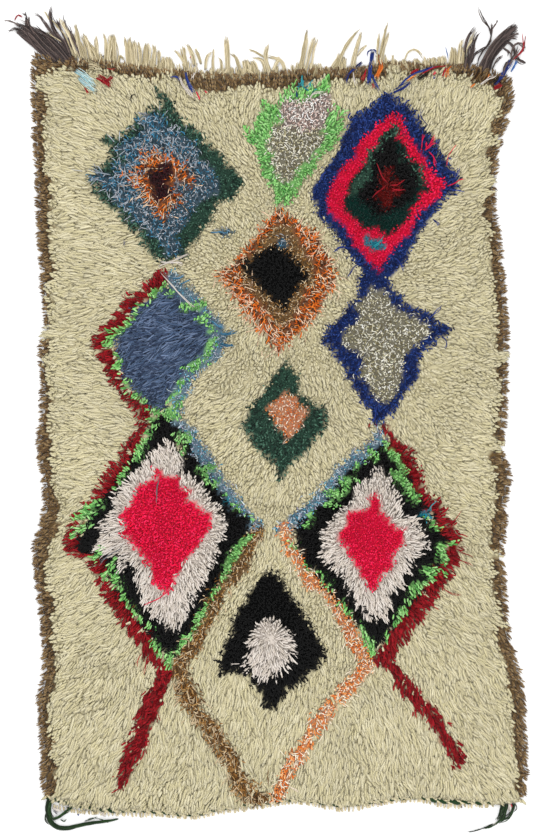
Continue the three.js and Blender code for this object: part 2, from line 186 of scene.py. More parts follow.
CURLY = {"reach": 15, "height": 19, "width": 3.0, "curl": 8, "spread": 90, "clump": 0.1,
         "spacing": 5.15, "painted_gap_shade": 0.3, "wild": 0.14, "tone": 0.16}
YARNS = {
    "ivory": Yarn([(198, 189, 155), (195, 186, 150), (201, 193, 161), (191, 182, 144)], reach=44,
                  width=7.0, spacing=6.7, fat=0.28, tone=0.02, spread=7, painted_gap_shade=0.95,
                  clump_pitch=19, clump_spread=20, clump=0.5, yields=0.4),
    "brown": Yarn([(132, 106, 69), (114, 88, 54), (150, 124, 85), (94, 70, 42)], reach=25,
                  height=15, width=4.8, spacing=5.0, clump=0.7, painted_gap_shade=0.6, spread=10,
                  clump_pitch=18, clump_spread=16, yields=0.5, tone=0.05),
    "forest": Yarn([(53, 86, 70), (34, 62, 50), (76, 114, 95), (20, 37, 30)], reach=14,
                   height=19, width=3.8, curl=5, spread=50, outward=0.5, spacing=5.1, tone=0.16),
    "blue tweed": Yarn([(64, 132, 166), (44, 96, 122), (120, 146, 164), (32, 56, 68),
                        (58, 86, 98), (172, 178, 186)], outward=0.3,
                       **{**CURLY, "reach": 20, "painted_gap_shade": 0.38}),
    "pale tweed": Yarn([(108, 176, 200), (150, 180, 196), (72, 138, 166), (184, 198, 206),
                        (64, 100, 116), (166, 162, 182)], outward=0.5, **{**CURLY, "painted_gap_shade": 0.5}),
    "orange": Yarn([(226, 108, 22), (224, 126, 46), (200, 86, 14), (230, 198, 168),
                    (70, 40, 18)], outward=0.75,
                   **{**CURLY, "reach": 25, "spread": 50, "width": 2.8, "spacing": 5.0}),
    "maroon": Yarn([(50, 22, 26), (62, 20, 25), (35, 17, 21)], reach=14, height=20, width=4.0,
                   curl=3, spread=60),
    "light green": Yarn([(148, 210, 124), (130, 200, 106), (162, 216, 138), (92, 160, 80)],
                        reach=20, height=22, width=4.8, curl=2.5, spread=14, clump=0.7, outward=0.6,
                        spacing=4.8, clump_pitch=17, clump_spread=25, fat=0.45),
    "pink beige": Yarn([(240, 217, 208), (228, 200, 190), (250, 242, 234), (170, 143, 130)],
                       **CURLY),
    "grey beige": Yarn([(208, 200, 164), (234, 228, 204), (176, 168, 132), (116, 106, 72),
                        (240, 236, 222)], **CURLY),
    "navy": Yarn([(30, 53, 116), (20, 39, 92), (42, 69, 138), (13, 22, 63)], reach=15,
                 height=20, width=3.8, curl=5, spread=45, outward=0.6, clump=0.35, spacing=5.0),
    "crimson": Yarn([(246, 17, 72), (238, 13, 64), (250, 36, 89), (215, 9, 49)], reach=12,
                    height=20, width=4.4, curl=4, spread=60, clump=0.3, painted_gap_shade=0.7, spacing=5.2),
    "deep green": Yarn([(5, 44, 38), (4, 32, 28), (9, 56, 48)], reach=15, height=19,
                       width=3.8, curl=4, spread=50, outward=0.3, spacing=5.2),
    "black": Yarn([(3, 3, 3), (2, 2, 2), (7, 7, 8)], reach=17, height=19, width=4.4,
                  curl=4, spread=40, outward=0.6, spacing=5.3),
    "dark red": Yarn([(94, 11, 8), (76, 7, 5), (114, 17, 12)], reach=16, height=20,
                     width=3.2, curl=3, spread=70, outward=0.5),
    "teal": Yarn([(28, 124, 144), (42, 142, 160)], reach=18, height=21, width=3.4, curl=4,
                 spread=60),
    "tan": Yarn([(152, 106, 52), (180, 140, 86), (114, 76, 30), (208, 184, 148), (80, 50, 18)],
                reach=19, height=20, width=3.2, curl=6, spread=60, clump=0.15, painted_gap_shade=0.5, wild=0.1),
    "slate": Yarn([(78, 96, 124), (65, 83, 111), (97, 113, 141), (48, 61, 86)], reach=46,
                  height=19, width=3.8, curl=7, spread=20, clump=0.3, angle=202, spacing=5.2,
                  yields=0.3, tone=0.16),
    "red": Yarn([(141, 13, 23), (123, 9, 17), (156, 19, 30), (102, 6, 12)], reach=23,
                height=20, width=4.4, curl=3, spread=12, clump=0.75, outward=0.65,
                clump_pitch=17, clump_spread=22, tone=0.05, spacing=5.0),
    "white": Yarn([(220, 209, 199), (211, 200, 187), (228, 219, 209)], reach=34, height=20,
                  width=4.4, curl=5, spread=12, clump=0.6, outward=0.7, clump_pitch=18,
                  clump_spread=18, tone=0.04, spacing=5.2, fat=0.5),
    "peach": Yarn([(242, 142, 66), (238, 124, 46), (250, 230, 210), (244, 162, 98), (222, 106, 38),
                   (246, 216, 188)], outward=0.2, **{**CURLY, "painted_gap_shade": 0.5}),
    "orange line": Yarn([(236, 140, 66), (222, 110, 38), (244, 184, 128), (248, 232, 208)],
                        reach=17, height=20, width=3.2, curl=6, spread=60, clump=0.15,
                        painted_gap_shade=0.6, wild=0.1),
}
YARN_NAMES = list(YARNS)

# Middles of the lozenges, which outward-leaning yarns point away from
LOZENGE_MIDDLES = [
    (168, 183), (294, 140), (383, 188), (277, 280), (161, 347), (385, 338),
    (285, 418), (163, 535), (373, 545), (271, 640),
]

# Patches of dyed yarn by their corners, and bands by their turns with the half width at each turn,
# in pixels of the photograph. A later one lies over an earlier one, and all patches over all bands.
PATCHES = [
    ("forest", [(156, 89), (166, 98), (172, 101), (174, 109), (181, 116), (185, 126), (201, 134),
                (205, 139), (203, 145), (216, 147), (223, 156), (229, 164), (238, 170), (244, 182),
                (240, 190), (231, 200), (218, 205), (211, 219), (205, 226), (200, 234), (190, 248),
                (188, 257), (159, 262), (148, 245), (134, 231), (119, 212), (100, 199), (92, 190),
                (103, 186), (87, 182), (104, 174), (97, 169), (113, 162), (110, 146), (97, 138),
                (122, 136), (130, 129), (140, 124), (133, 119), (147, 116), (152, 107), (163, 111)]),
    ("blue tweed", [(134, 115), (162, 117), (168, 126), (178, 131), (194, 144), (202, 160),
                    (214, 170), (220, 184), (217, 194), (199, 204), (193, 213), (184, 227),
                    (177, 236), (181, 246), (178, 254), (167, 256), (160, 240), (145, 228),
                    (130, 212), (117, 203), (110, 191), (86, 171), (119, 177), (112, 162),
                    (127, 163), (117, 146), (135, 138), (145, 130)]),
    ("orange", [(140, 154), (154, 150), (167, 157), (177, 164), (191, 176), (194, 185), (183, 193),
                (178, 204), (170, 205), (166, 218), (159, 217), (147, 201), (143, 190), (132, 181),
                (123, 177), (136, 174), (146, 166)]),
    ("blue tweed", [(173, 183), (190, 186), (184, 193), (172, 192)]),
    ("maroon", [(144, 169), (154, 171), (162, 165), (170, 166), (175, 175), (171, 180), (166, 182),
                (171, 192), (167, 199), (159, 203), (153, 198), (156, 190), (148, 181)]),
    ("light green", [(264, 99), (269, 106), (276, 110), (281, 98), (288, 96), (294, 87), (298, 93),
                     (305, 93), (313, 88), (324, 85), (328, 80), (328, 96), (334, 106), (330, 118),
                     (341, 109), (338, 122), (341, 130), (334, 145), (325, 152), (316, 162),
                     (311, 172), (303, 178), (301, 184), (294, 194), (290, 201), (276, 203),
                     (276, 190), (269, 180), (263, 168), (259, 152), (251, 143), (243, 127),
                     (255, 137), (257, 127), (262, 116), (266, 110)]),
    ("grey beige", [(272, 122), (284, 124), (300, 130), (325, 128), (323, 140), (313, 158),
                    (298, 169), (297, 180), (285, 185), (277, 176), (272, 162), (264, 145),
                    (270, 138)]),
    ("pink beige", [(283, 103), (299, 102), (312, 96), (329, 96), (334, 106), (327, 120),
                    (324, 130), (301, 132), (284, 128), (279, 116)]),
    ("navy", [(389, 93), (411, 108), (421, 128), (444, 159), (458, 182), (444, 200), (430, 215),
              (412, 246), (402, 267), (386, 275), (376, 287), (366, 280), (352, 261), (337, 236),
              (320, 217), (311, 196), (322, 172), (337, 152), (351, 119)]),
    ("crimson", [(398, 111), (404, 126), (416, 148), (432, 172), (444, 182), (436, 200), (420, 212),
                 (408, 236), (394, 247), (380, 272), (370, 262), (356, 246), (344, 226), (330, 212),
                 (326, 198), (336, 176), (352, 160), (362, 138)]),
    ("deep green", [(389, 128), (398, 140), (412, 158), (424, 176), (428, 188), (414, 204),
                    (404, 222), (388, 236), (372, 230), (358, 222), (346, 212), (343, 200),
                    (352, 180), (366, 160), (378, 142)]),
    ("forest", [(396, 124), (401, 130), (394, 146), (398, 152), (408, 160), (420, 166), (424, 176),
                (420, 190), (414, 186), (412, 170), (400, 160), (392, 146), (386, 150), (378, 160),
                (370, 176), (362, 192), (352, 196), (346, 196), (352, 184), (362, 170), (368, 152),
                (380, 138)]),
    ("black", [(392, 136), (398, 150), (402, 160), (412, 168), (418, 180), (414, 196), (404, 204),
               (392, 212), (376, 214), (364, 204), (358, 196), (362, 186), (372, 176), (374, 160),
               (380, 148)]),
    ("dark red", [(382, 171), (392, 169), (393, 176), (387, 179), (391, 184), (400, 179), (402, 183),
                  (396, 188), (402, 192), (396, 197), (391, 195), (390, 205), (384, 209), (381, 205),
                  (384, 198), (376, 199), (371, 203), (375, 195), (383, 188), (379, 182)]),
    ("orange", [(277, 211), (288, 216), (300, 226), (316, 234), (324, 246), (330, 262), (335, 282),
                (324, 296), (315, 316), (300, 330), (290, 340), (278, 350), (268, 336), (256, 322),
                (246, 314), (240, 298), (226, 286), (218, 276), (236, 266), (246, 250), (256, 236),
                (266, 224)]),
    ("tan", [(274, 228), (288, 225), (295, 238), (304, 250), (312, 264), (314, 277), (306, 292),
             (298, 306), (290, 321), (281, 331), (271, 317), (261, 302), (249, 290), (239, 272),
             (247, 259), (256, 249), (264, 240)]),
    ("black", [(275, 247), (288, 254), (298, 262), (307, 276), (298, 290), (288, 300), (284, 313),
               (276, 302), (262, 290), (250, 276), (243, 265), (256, 258), (266, 250)]),
    ("slate", [(152, 296), (166, 292), (177, 294), (184, 302), (193, 310), (200, 319), (206, 328),
               (214, 338), (208, 347), (203, 357), (195, 365), (185, 371), (178, 381), (173, 394),
               (165, 401), (172, 412), (150, 411), (149, 401), (137, 392), (130, 381), (123, 372),
               (122, 363), (118, 353), (114, 342), (117, 333), (130, 324), (136, 316), (131, 311),
               (143, 303)]),
    ("navy", [(357, 278), (362, 297), (349, 303), (338, 319), (328, 328), (322, 339), (325, 346),
              (342, 364), (349, 375), (353, 388), (361, 399), (368, 407), (373, 421), (387, 416),
              (395, 410), (399, 395), (407, 392), (415, 378), (417, 367), (420, 357), (428, 347),
              (438, 340), (448, 333), (453, 326), (435, 320), (415, 309), (399, 299), (394, 293),
              (388, 278)]),
    ("grey beige", [(373, 285), (365, 299), (354, 308), (360, 318), (351, 326), (340, 338),
                    (343, 345), (353, 350), (363, 357), (359, 367), (359, 376), (367, 382),
                    (371, 391), (376, 400), (385, 403), (395, 397), (399, 385), (405, 370),
                    (403, 357), (409, 350), (419, 345), (427, 338), (429, 330), (425, 321),
                    (411, 317), (393, 305), (385, 292)]),
    ("forest", [(287, 359), (297, 374), (300, 393), (326, 409), (327, 422), (310, 444), (300, 456),
                (291, 460), (281, 484), (275, 465), (257, 446), (243, 428), (251, 406), (265, 390),
                (275, 374)]),
    ("peach", [(289, 394), (307, 412), (300, 425), (289, 440), (275, 425), (267, 409), (275, 398)]),
    ("black", [(159, 415), (170, 415), (173, 427), (181, 432), (176, 444), (183, 457), (194, 457),
               (198, 468), (208, 480), (214, 491), (224, 498), (234, 507), (247, 516), (250, 528),
               (243, 539), (229, 552), (226, 566), (216, 581), (204, 604), (192, 622), (182, 640),
               (175, 655), (164, 652), (150, 633), (134, 612), (119, 592), (115, 576), (106, 562),
               (97, 555), (80, 552), (78, 542), (88, 529), (96, 514), (103, 501), (114, 491),
               (121, 480), (124, 472), (134, 463), (142, 453), (148, 440), (152, 426)]),
    ("white", [(172, 444), (174, 452), (182, 461), (185, 468), (177, 476), (192, 477), (194, 485),
               (204, 491), (206, 501), (215, 510), (224, 522), (220, 535), (216, 546), (212, 558),
               (208, 568), (200, 578), (190, 596), (186, 614), (174, 626), (158, 616), (152, 604),
               (138, 590), (143, 580), (138, 570), (137, 558), (118, 571), (131, 555), (99, 550),
               (108, 539), (111, 528), (102, 528), (111, 520), (118, 512), (116, 502), (123, 492),
               (131, 483), (140, 473), (148, 463), (157, 453), (164, 447)]),
    ("crimson", [(154, 479), (170, 477), (183, 477), (177, 485), (191, 489), (188, 499), (198, 506),
                 (210, 515), (212, 528), (202, 538), (196, 550), (186, 559), (181, 570), (174, 582),
                 (168, 594), (162, 590), (154, 582), (153, 571), (144, 559), (138, 549), (128, 541),
                 (121, 534), (128, 526), (121, 519), (128, 508), (135, 499), (137, 489),
                 (144, 482)]),
    ("crimson", [(154, 464), (158, 470), (163, 476), (157, 478), (152, 472)]),
    ("black", [(377, 448), (388, 450), (395, 461), (405, 477), (408, 488), (418, 502), (424, 515),
               (436, 529), (448, 538), (438, 548), (428, 563), (423, 576), (413, 588), (401, 603),
               (394, 620), (386, 636), (377, 648), (364, 628), (352, 612), (338, 600), (329, 588),
               (318, 575), (309, 563), (299, 548), (298, 536), (303, 526), (317, 522), (321, 511),
               (332, 504), (339, 494), (353, 488), (353, 475), (367, 464), (372, 456)]),
    ("white", [(380, 468), (385, 476), (391, 482), (388, 490), (397, 496), (397, 514), (405, 520),
               (414, 524), (418, 534), (424, 545), (412, 555), (403, 568), (399, 582), (390, 590),
               (387, 604), (383, 616), (375, 608), (366, 616), (361, 604), (355, 594), (350, 583),
               (343, 574), (336, 562), (325, 555), (325, 530), (333, 520), (341, 514), (347, 507),
               (353, 503), (356, 492), (365, 488), (364, 482), (372, 482), (374, 474)]),
    ("crimson", [(375, 493), (382, 497), (378, 502), (388, 516), (392, 525), (405, 531), (402, 544),
                 (394, 553), (394, 564), (385, 574), (380, 582), (373, 594), (364, 580), (355, 567),
                 (352, 557), (343, 548), (338, 533), (349, 525), (347, 514), (358, 509), (372, 506),
                 (369, 496)]),
    ("black", [(271, 569), (279, 572), (284, 585), (295, 600), (308, 621), (318, 639), (325, 652),
               (318, 663), (306, 675), (299, 684), (288, 688), (280, 699), (273, 708), (264, 702),
               (262, 691), (252, 686), (249, 675), (234, 671), (223, 673), (219, 661), (226, 643),
               (234, 626), (239, 609), (251, 594), (260, 580)]),
    ("white", [(269, 621), (279, 626), (288, 634), (290, 650), (284, 661), (275, 672), (264, 674),
               (249, 667), (251, 650), (252, 635), (262, 624)]),
]
BANDS = [
    ("black", [(178, 425, 6), (185, 436, 6), (190, 448, 6), (199, 460, 6), (206, 470, 6),
               (213, 480, 6), (221, 490, 6), (230, 498, 6), (238, 508, 6), (245, 518, 6)]),
    ("black", [(384, 446, 5), (368, 461, 6), (350, 476, 6), (340, 492, 6), (327, 506, 6),
               (314, 519, 6), (302, 532, 6)]),
    ("black", [(236, 556, 5), (226, 574, 5), (214, 592, 5), (203, 612, 5), (190, 632, 5),
               (178, 650, 4)]),
    ("black", [(306, 556, 5), (322, 574, 5), (336, 592, 5), (350, 606, 5), (362, 622, 5),
               (376, 640, 4)]),
    ("black", [(146, 452, 4), (132, 466, 4), (118, 484, 4), (104, 500, 4), (92, 518, 4)]),
    ("black", [(118, 568, 4), (126, 584, 4), (138, 604, 4), (152, 626, 4), (164, 642, 4)]),
    ("black", [(398, 466, 5), (410, 482, 5), (422, 498, 5), (434, 514, 5), (444, 532, 4)]),
    ("black", [(438, 552, 4), (428, 568, 4), (418, 584, 4), (404, 604, 4), (390, 626, 4)]),
    ("slate", [(168, 291, 5), (184, 303, 7), (198, 314, 7), (206, 326, 6), (208, 344, 6),
               (198, 362, 6), (186, 374, 6),
               (178, 390, 5)]),
    ("red", [(166, 275, 4.5), (158, 284, 6), (150, 292, 5.5), (143, 298, 2.5), (134, 302, 4.5),
             (128, 310, 2.5), (126, 317, 5), (116, 326, 5.5), (107, 335, 6), (100, 342, 3),
             (106, 350, 2.5), (110, 358, 7), (113, 366, 5), (117, 373, 4.5), (119, 381, 4.5),
             (126, 388, 2.5), (130, 394, 4), (137, 401, 4.5), (145, 407, 4.5), (147, 416, 4),
             (142, 428, 4), (137, 440, 4.5), (131, 452, 5), (126, 462, 4), (122, 468, 4.5),
             (115, 478, 5), (108, 487, 3), (101, 496, 3), (93, 506, 2.5), (85, 513, 4.5),
             (80, 518, 3), (76, 528, 4), (73, 542, 5), (78, 551, 4), (96, 556, 3), (102, 563, 5),
             (104, 575, 5), (110, 587, 5), (118, 598, 5), (124, 608, 6), (132, 622, 5),
             (142, 636, 6), (150, 648, 5), (160, 660, 4), (166, 668, 4)]),
    ("red", [(166, 668, 5), (160, 684, 7), (152, 700, 9), (148, 712, 8), (146, 722, 5),
             (141, 734, 7), (138, 746, 8), (131, 758, 6), (126, 770, 4), (121, 786, 1.5)]),
    ("red", [(373, 422, 2), (387, 427, 3), (393, 440, 4), (400, 452, 6), (409, 465, 6),
             (415, 480, 6), (422, 495, 3.5), (433, 507, 5), (441, 523, 5.5), (452, 534, 4),
             (454, 548, 5), (446, 559, 7), (439, 577, 6), (430, 587, 6.5), (423, 599, 6.5),
             (413, 611, 6), (403, 625, 5), (396, 637, 5), (389, 648, 5.5), (380, 658, 5)]),
    ("red", [(380, 656, 6), (391, 664, 4), (403, 680, 6), (412, 690, 6), (420, 702, 5),
             (430, 712, 4.5), (440, 726, 6), (446, 738, 5), (455, 750, 5.5), (458, 758, 5),
             (456, 764, 2.5)]),
    ("pale tweed", [(172, 274, 3), (177, 285, 5), (186, 294, 6), (196, 300, 4), (205, 311, 4),
                    (213, 322, 6), (219, 332, 8), (217, 343, 9), (211, 354, 8), (200, 366, 6),
                    (190, 376, 6.5), (184, 387, 7), (178, 398, 6), (176, 410, 4), (177, 420, 3.5),
                    (185, 426, 4.5), (193, 434, 5), (196, 446, 6), (204, 457, 6), (211, 467, 5),
                    (216, 476, 6), (224, 486, 6.5), (232, 495, 4), (240, 506, 5), (248, 515, 6),
                    (257, 526, 6), (252, 534, 4)]),
    ("pale tweed", [(377, 424, 2.5), (380, 438, 5), (363, 454, 6), (342, 469, 6), (332, 485, 5),
                    (319, 499, 5.5), (306, 511, 5.5), (294, 523, 7), (280, 528, 5.5)]),
    ("tan", [(259, 531, 5), (250, 542, 6.5), (244, 555, 7), (238, 570, 7), (226, 582, 7),
             (215, 598, 7), (206, 618, 7.5), (196, 640, 7.5), (182, 660, 7), (180, 672, 7),
             (186, 686, 8), (193, 702, 8), (200, 716, 6), (211, 727, 8), (218, 740, 7),
             (230, 756, 7), (236, 770, 6.5), (243, 784, 8), (255, 794, 7.5), (266, 804, 6)]),
    ("orange line", [(284, 524, 4), (288, 545, 5), (297, 556, 4.5), (306, 575, 5.5),
                     (315, 583, 6), (331, 592, 5.5), (338, 604, 6.5), (345, 622, 6.5),
                     (353, 640, 6), (362, 650, 6), (368, 664, 6.5), (357, 676, 5), (345, 689, 6),
                     (329, 706, 5), (319, 721, 6), (308, 738, 5), (297, 756, 6), (285, 773, 5.5),
                     (279, 788, 5.5), (274, 803, 4)]),
]
GREEN_TUFTS = [
    # turns, with the half width at each
    [(165, 286, 2), (153, 296, 3.5)], [(164, 295, 1.2), (175, 294, 2)],
    [(139, 308, 2), (151, 307, 2)], [(139, 315, 2), (130, 324, 3)], [(129, 326, 2.5), (118, 333, 4)],
    [(114, 336, 3), (110, 345, 4.5)], [(110, 346, 2), (102, 348, 1)], [(121, 355, 2), (119, 367, 4)],
    [(125, 374, 1.5), (119, 379, 1)], [(131, 378, 2), (127, 391, 2.2)], [(134, 394, 3), (145, 399, 3)],
    [(148, 407, 2), (160, 411, 3), (174, 413, 5)], [(182, 310, 4), (192, 306, 3.5)],
    [(194, 307, 3), (203, 305, 4)], [(203, 313, 2), (206, 317, 2)], [(193, 321, 2), (203, 322, 3.5)],
    [(207, 327, 3), (214, 331, 2.5)], [(206, 354, 3), (210, 345, 4), (216, 338, 2)],
    [(208, 361, 2), (209, 355, 1)], [(200, 358, 3), (194, 366, 4.5), (184, 366, 1.5)],
    [(187, 375, 1.5), (179, 383, 2.5)], [(181, 391, 2), (170, 398, 2.5)],
    [(183, 400, 2), (173, 405, 2)],
    [(149, 419, 2), (157, 418, 2)], [(150, 424, 1.4), (159, 423, 2)], [(149, 430, 3), (149, 440, 3)],
    [(145, 443, 3), (138, 461, 4)], [(131, 466, 2.5), (118, 490, 2)], [(101, 502, 3), (82, 511, 2)],
    [(100, 509, 2.5), (77, 521, 3)], [(93, 522, 2.5), (74, 534, 2)], [(106, 549, 3), (97, 557, 3)],
    [(116, 558, 2.5), (106, 576, 2.5)], [(117, 568, 2), (121, 585, 4)], [(124, 592, 3), (130, 604, 3)],
    [(134, 606, 2.5), (141, 618, 3)], [(155, 641, 4), (160, 650, 3)], [(168, 652, 3), (170, 662, 4)],
    [(149, 620, 1.5), (152, 625, 3)], [(176, 434, 3), (189, 435, 3)], [(188, 440, 3), (177, 444, 2)],
    [(185, 448, 2), (183, 456, 2)], [(198, 471, 2), (212, 467, 3.5)], [(205, 474, 2), (208, 485, 3)],
    [(213, 486, 3), (220, 482, 2.5)], [(224, 496, 3), (229, 503, 2.5)],
    [(236, 507, 2.5), (239, 511, 2)],
    [(246, 514, 2), (250, 518, 2.5)], [(253, 534, 2), (240, 543, 3.5)], [(238, 548, 5), (229, 560, 5)],
    [(228, 564, 4), (222, 580, 3)], [(220, 584, 2), (211, 596, 3)], [(206, 607, 4), (199, 622, 4)],
    [(196, 628, 3), (184, 640, 4)], [(181, 648, 2), (176, 654, 3)], [(367, 450, 2.5), (377, 461, 3.5)],
    [(382, 443, 3), (395, 459, 4)], [(396, 460, 3), (404, 472, 4.5)], [(393, 473, 4), (403, 484, 4.5)],
    [(406, 485, 4), (414, 500, 4.5)], [(422, 520, 1.5), (435, 529, 3)],
    [(458, 540, 1.5), (446, 545, 2.5)],
    [(438, 546, 4.5), (442, 560, 4.5)], [(423, 566, 2), (443, 572, 1.8)],
    [(420, 568, 2), (429, 576, 3.5)],
    [(412, 586, 4.5), (422, 582, 3.5)], [(408, 597, 3), (416, 590, 2.5)],
    [(396, 612, 3), (403, 607, 4)],
    [(389, 630, 2), (385, 640, 2)], [(394, 620, 2.5), (404, 616, 1.5)],
    [(370, 640, 2.5), (374, 650, 4)],
    [(363, 628, 2.5), (371, 644, 4.5)], [(361, 620, 1.5), (364, 627, 2)],
    [(363, 464, 2), (356, 468, 3.5)],
    [(345, 482, 5), (348, 491, 3.5)], [(350, 480, 2), (362, 484, 1.5)],
    [(328, 493, 4), (339, 495, 4.5)],
    [(330, 505, 3.5), (342, 506, 2)], [(313, 513, 3), (308, 526, 3)],
    [(293, 543, 2.5), (297, 548, 1.5)],
    [(304, 560, 1.5), (307, 568, 2.5)], [(318, 568, 1.5), (331, 586, 2.5)],
    [(340, 598, 2), (350, 612, 2.5)],
]
DABS = [
    # yarn, middle, half width and half height
    ("teal", 302, 90, 3, 3), ("teal", 309, 89, 2, 2), ("teal", 376, 244, 8, 6),
    ("teal", 367, 240, 3, 4),
    ("teal", 226, 500, 3, 3), ("teal", 424, 515, 5, 3), ("blue tweed", 227, 233, 6, 4),
    ("blue tweed", 282, 243, 6, 4), ("orange", 438, 530, 2, 2), ("crimson", 318, 178, 1, 1),
]

# Which way the locks lie: place in pixels of the photograph, direction in degrees, and how flat
LIE = [
    (60, 120, 165, 0.9), (60, 300, 180, 1.0), (60, 450, 186, 1.0), (60, 600, 205, 1.0),
    (80, 760, 245, 0.9), (150, 90, 110, 0.8), (110, 230, 176, 1.0), (110, 420, 178, 1.0),
    (200, 700, 262, 1.0), (270, 760, 268, 1.0), (270, 380, 255, 0.55), (230, 180, 120, 0.45),
    (250, 70, 92, 0.9), (380, 70, 86, 0.9), (480, 90, 60, 0.9), (500, 200, 15, 0.9),
    (490, 320, 0, 0.8), (490, 450, -15, 0.9), (500, 600, -35, 0.95), (500, 740, -55, 0.95),
    (420, 740, -80, 1.0), (440, 260, 10, 0.6), (300, 520, -95, 0.7), (170, 540, 200, 0.8),
    (340, 300, -60, 0.5), (60, 760, 225, 0.95), (360, 430, -60, 0.6), (220, 400, 215, 0.6),
]

# Partings where the pile opens on a dark line, in pixels of the photograph
PARTINGS = [
    [(52, 297, 1.6), (70, 299, 1.8), (92, 303, 0.8)], [(56, 226, 1.2), (98, 230, 0.8)],
    [(54, 241, 1), (84, 243, 0.8)], [(52, 401, 1), (90, 396, 0.6)], [(450, 133, 1.5), (482, 137, 1.5)],
    [(465, 551, 1.5), (494, 556, 1.5)], [(464, 627, 1.6), (490, 632, 1.4)],
    [(420, 365, 1), (462, 372, 1)], [(440, 255, 1), (486, 262, 1)], [(60, 520, 1), (98, 522, 0.6)],
    [(60, 358, 1.2), (100, 362, 0.8)], [(470, 450, 1.5), (498, 455, 1.2)],
]


# Width of the brown border along the two sides and the top, in pixels of the photograph
LEFT_BORDER = [
    (50, 20), (73, 14), (76, 5), (90, 5), (93, 14), (116, 14), (120, 10), (172, 9), (178, 15),
    (198, 15),
    (202, 12), (276, 13), (284, 5), (326, 6), (330, 0), (338, 0), (341, 13), (352, 13), (355, 2),
    (364, 2), (368, 8), (396, 8), (400, 10), (434, 11), (438, 15), (474, 14), (478, 10), (498, 11),
    (503, 15), (520, 18), (524, 21), (538, 20), (542, 15), (556, 15), (560, 11), (588, 11), (592, 16),
    (611, 16), (615, 12), (644, 12), (648, 14), (698, 13), (704, 8), (728, 8), (732, 15), (744, 15),
    (750, 8), (757, 8), (760, 14), (794, 14), (797, 0), (815, 0),
]
RIGHT_BORDER = [
    (66, 16), (98, 15), (102, 9), (115, 9), (119, 14), (134, 13), (138, 4), (146, 4), (149, 13),
    (159, 13), (163, 7), (176, 7), (179, 0), (181, 0), (183, 6), (189, 6), (191, 0), (193, 0),
    (196, 13), (219, 13), (222, 8), (246, 9), (250, 11), (350, 11), (352, 0), (361, 0), (364, 11),
    (376, 11), (380, 8), (439, 9), (442, 2), (448, 2), (452, 15), (488, 15), (492, 11), (508, 11),
    (512, 13), (550, 14), (554, 2), (556, 2), (559, 12), (598, 12), (602, 8), (617, 8), (620, 3),
    (624, 3), (627, 13), (711, 13), (756, 11), (760, 9), (795, 9), (798, 0), (815, 0),
]
TOP_BORDER = [
    (33, 20), (50, 18), (54, 12), (62, 10), (67, 6), (74, 10), (80, 15), (86, 8), (96, 8), (104, 9),
    (112, 10), (118, 12), (158, 12), (162, 6), (176, 6), (182, 12), (200, 16), (214, 18), (234, 15),
    (240, 11), (262, 12), (270, 16), (298, 17), (306, 12), (322, 11), (345, 12), (358, 13), (384, 15),
    (388, 4), (400, 4), (404, 11), (413, 11), (418, 7), (450, 7), (456, 9), (470, 11), (476, 18),
    (500, 18), (506, 30), (520, 30),
]
BORDER_FLOOR = 6


def inside(corners, x, y):
    """Which places lie within a patch."""
    found = np.zeros(x.shape, bool)
    points = [spot(corner) for corner in corners]
    for (x0, y0), (x1, y1) in zip(points, points[1:] + points[:1]):
        crosses = (y0 > y) != (y1 > y)
        rise = y1 - y0 if y1 != y0 else 1e-9
        found ^= crosses & (x < (x1 - x0) * (y - y0) / rise + x0)
    return found


def band_distance(turns, x, y):
    """How far places are outside a band with turns, negative within it."""
    nearest = np.full(x.shape, 1e9)
    points = [(*spot(turn[:2]), turn[2] * PIXEL) for turn in turns]
    for (x0, y0, width0), (x1, y1, width1) in zip(points, points[1:]):
        run = np.array([x1 - x0, y1 - y0])
        share = np.clip(((x - x0) * run[0] + (y - y0) * run[1]) / (run @ run), 0, 1)
        away = np.hypot(x - x0 - share * run[0], y - y0 - share * run[1])
        nearest = np.minimum(nearest, away - width0 - share * (width1 - width0))
    return nearest


def yarn_at(x, y, mingled=0):
    """The number of the yarn that is knotted at each place, a little mingled where two meet."""
    edges = edge_distances(x, y)
    x = x + mingled * np.sin(x * 7.13 + y * 3.71)
    y = y + mingled * np.sin(y * 8.37 - x * 2.93)
    found = np.zeros(x.shape, int)
    brown = YARN_NAMES.index("brown")
    uneven_border = BORDER_FLOOR + 5 * unevenness(x, y, 22, 3) + 4 * unevenness(x, y, 9, 2)
    for edge, table, place in ((0, LEFT_BORDER, -y), (1, RIGHT_BORDER, -y), (3, TOP_BORDER, x)):
        where, widths = np.array(table, float).T
        middle = PHOTO_MIDDLE[0 if edge == 3 else 1]
        width = PIXEL * np.interp(place / PIXEL + middle, where, widths)
        found[(edges[edge] < width + uneven_border) & (width > 1)] = brown
    u = x + 5 * unevenness(x, y, 15, 4) + 3 * unevenness(x, y, 6, 5)
    v = y + 5 * unevenness(x, y, 15, 6) + 3 * unevenness(x, y, 6, 7)
    for name, turns in BANDS:
        found[band_distance(turns, u, v) < 1.5 + 3 * unevenness(x, y, 12, 0)] = YARN_NAMES.index(name)
    for name, corners in PATCHES:
        found[inside(corners, u, v)] = YARN_NAMES.index(name)
    for turns in GREEN_TUFTS:
        found[band_distance(turns, x, y) < -2] = YARN_NAMES.index("light green")
    for name, middle_x, middle_y, half_width, half_height in DABS:
        middle_x, middle_y = spot((middle_x, middle_y))
        off = np.hypot((u - middle_x) / (half_width * PIXEL), (v - middle_y) / (half_height * PIXEL))
        found[off < 1] = YARN_NAMES.index(name)
    return found


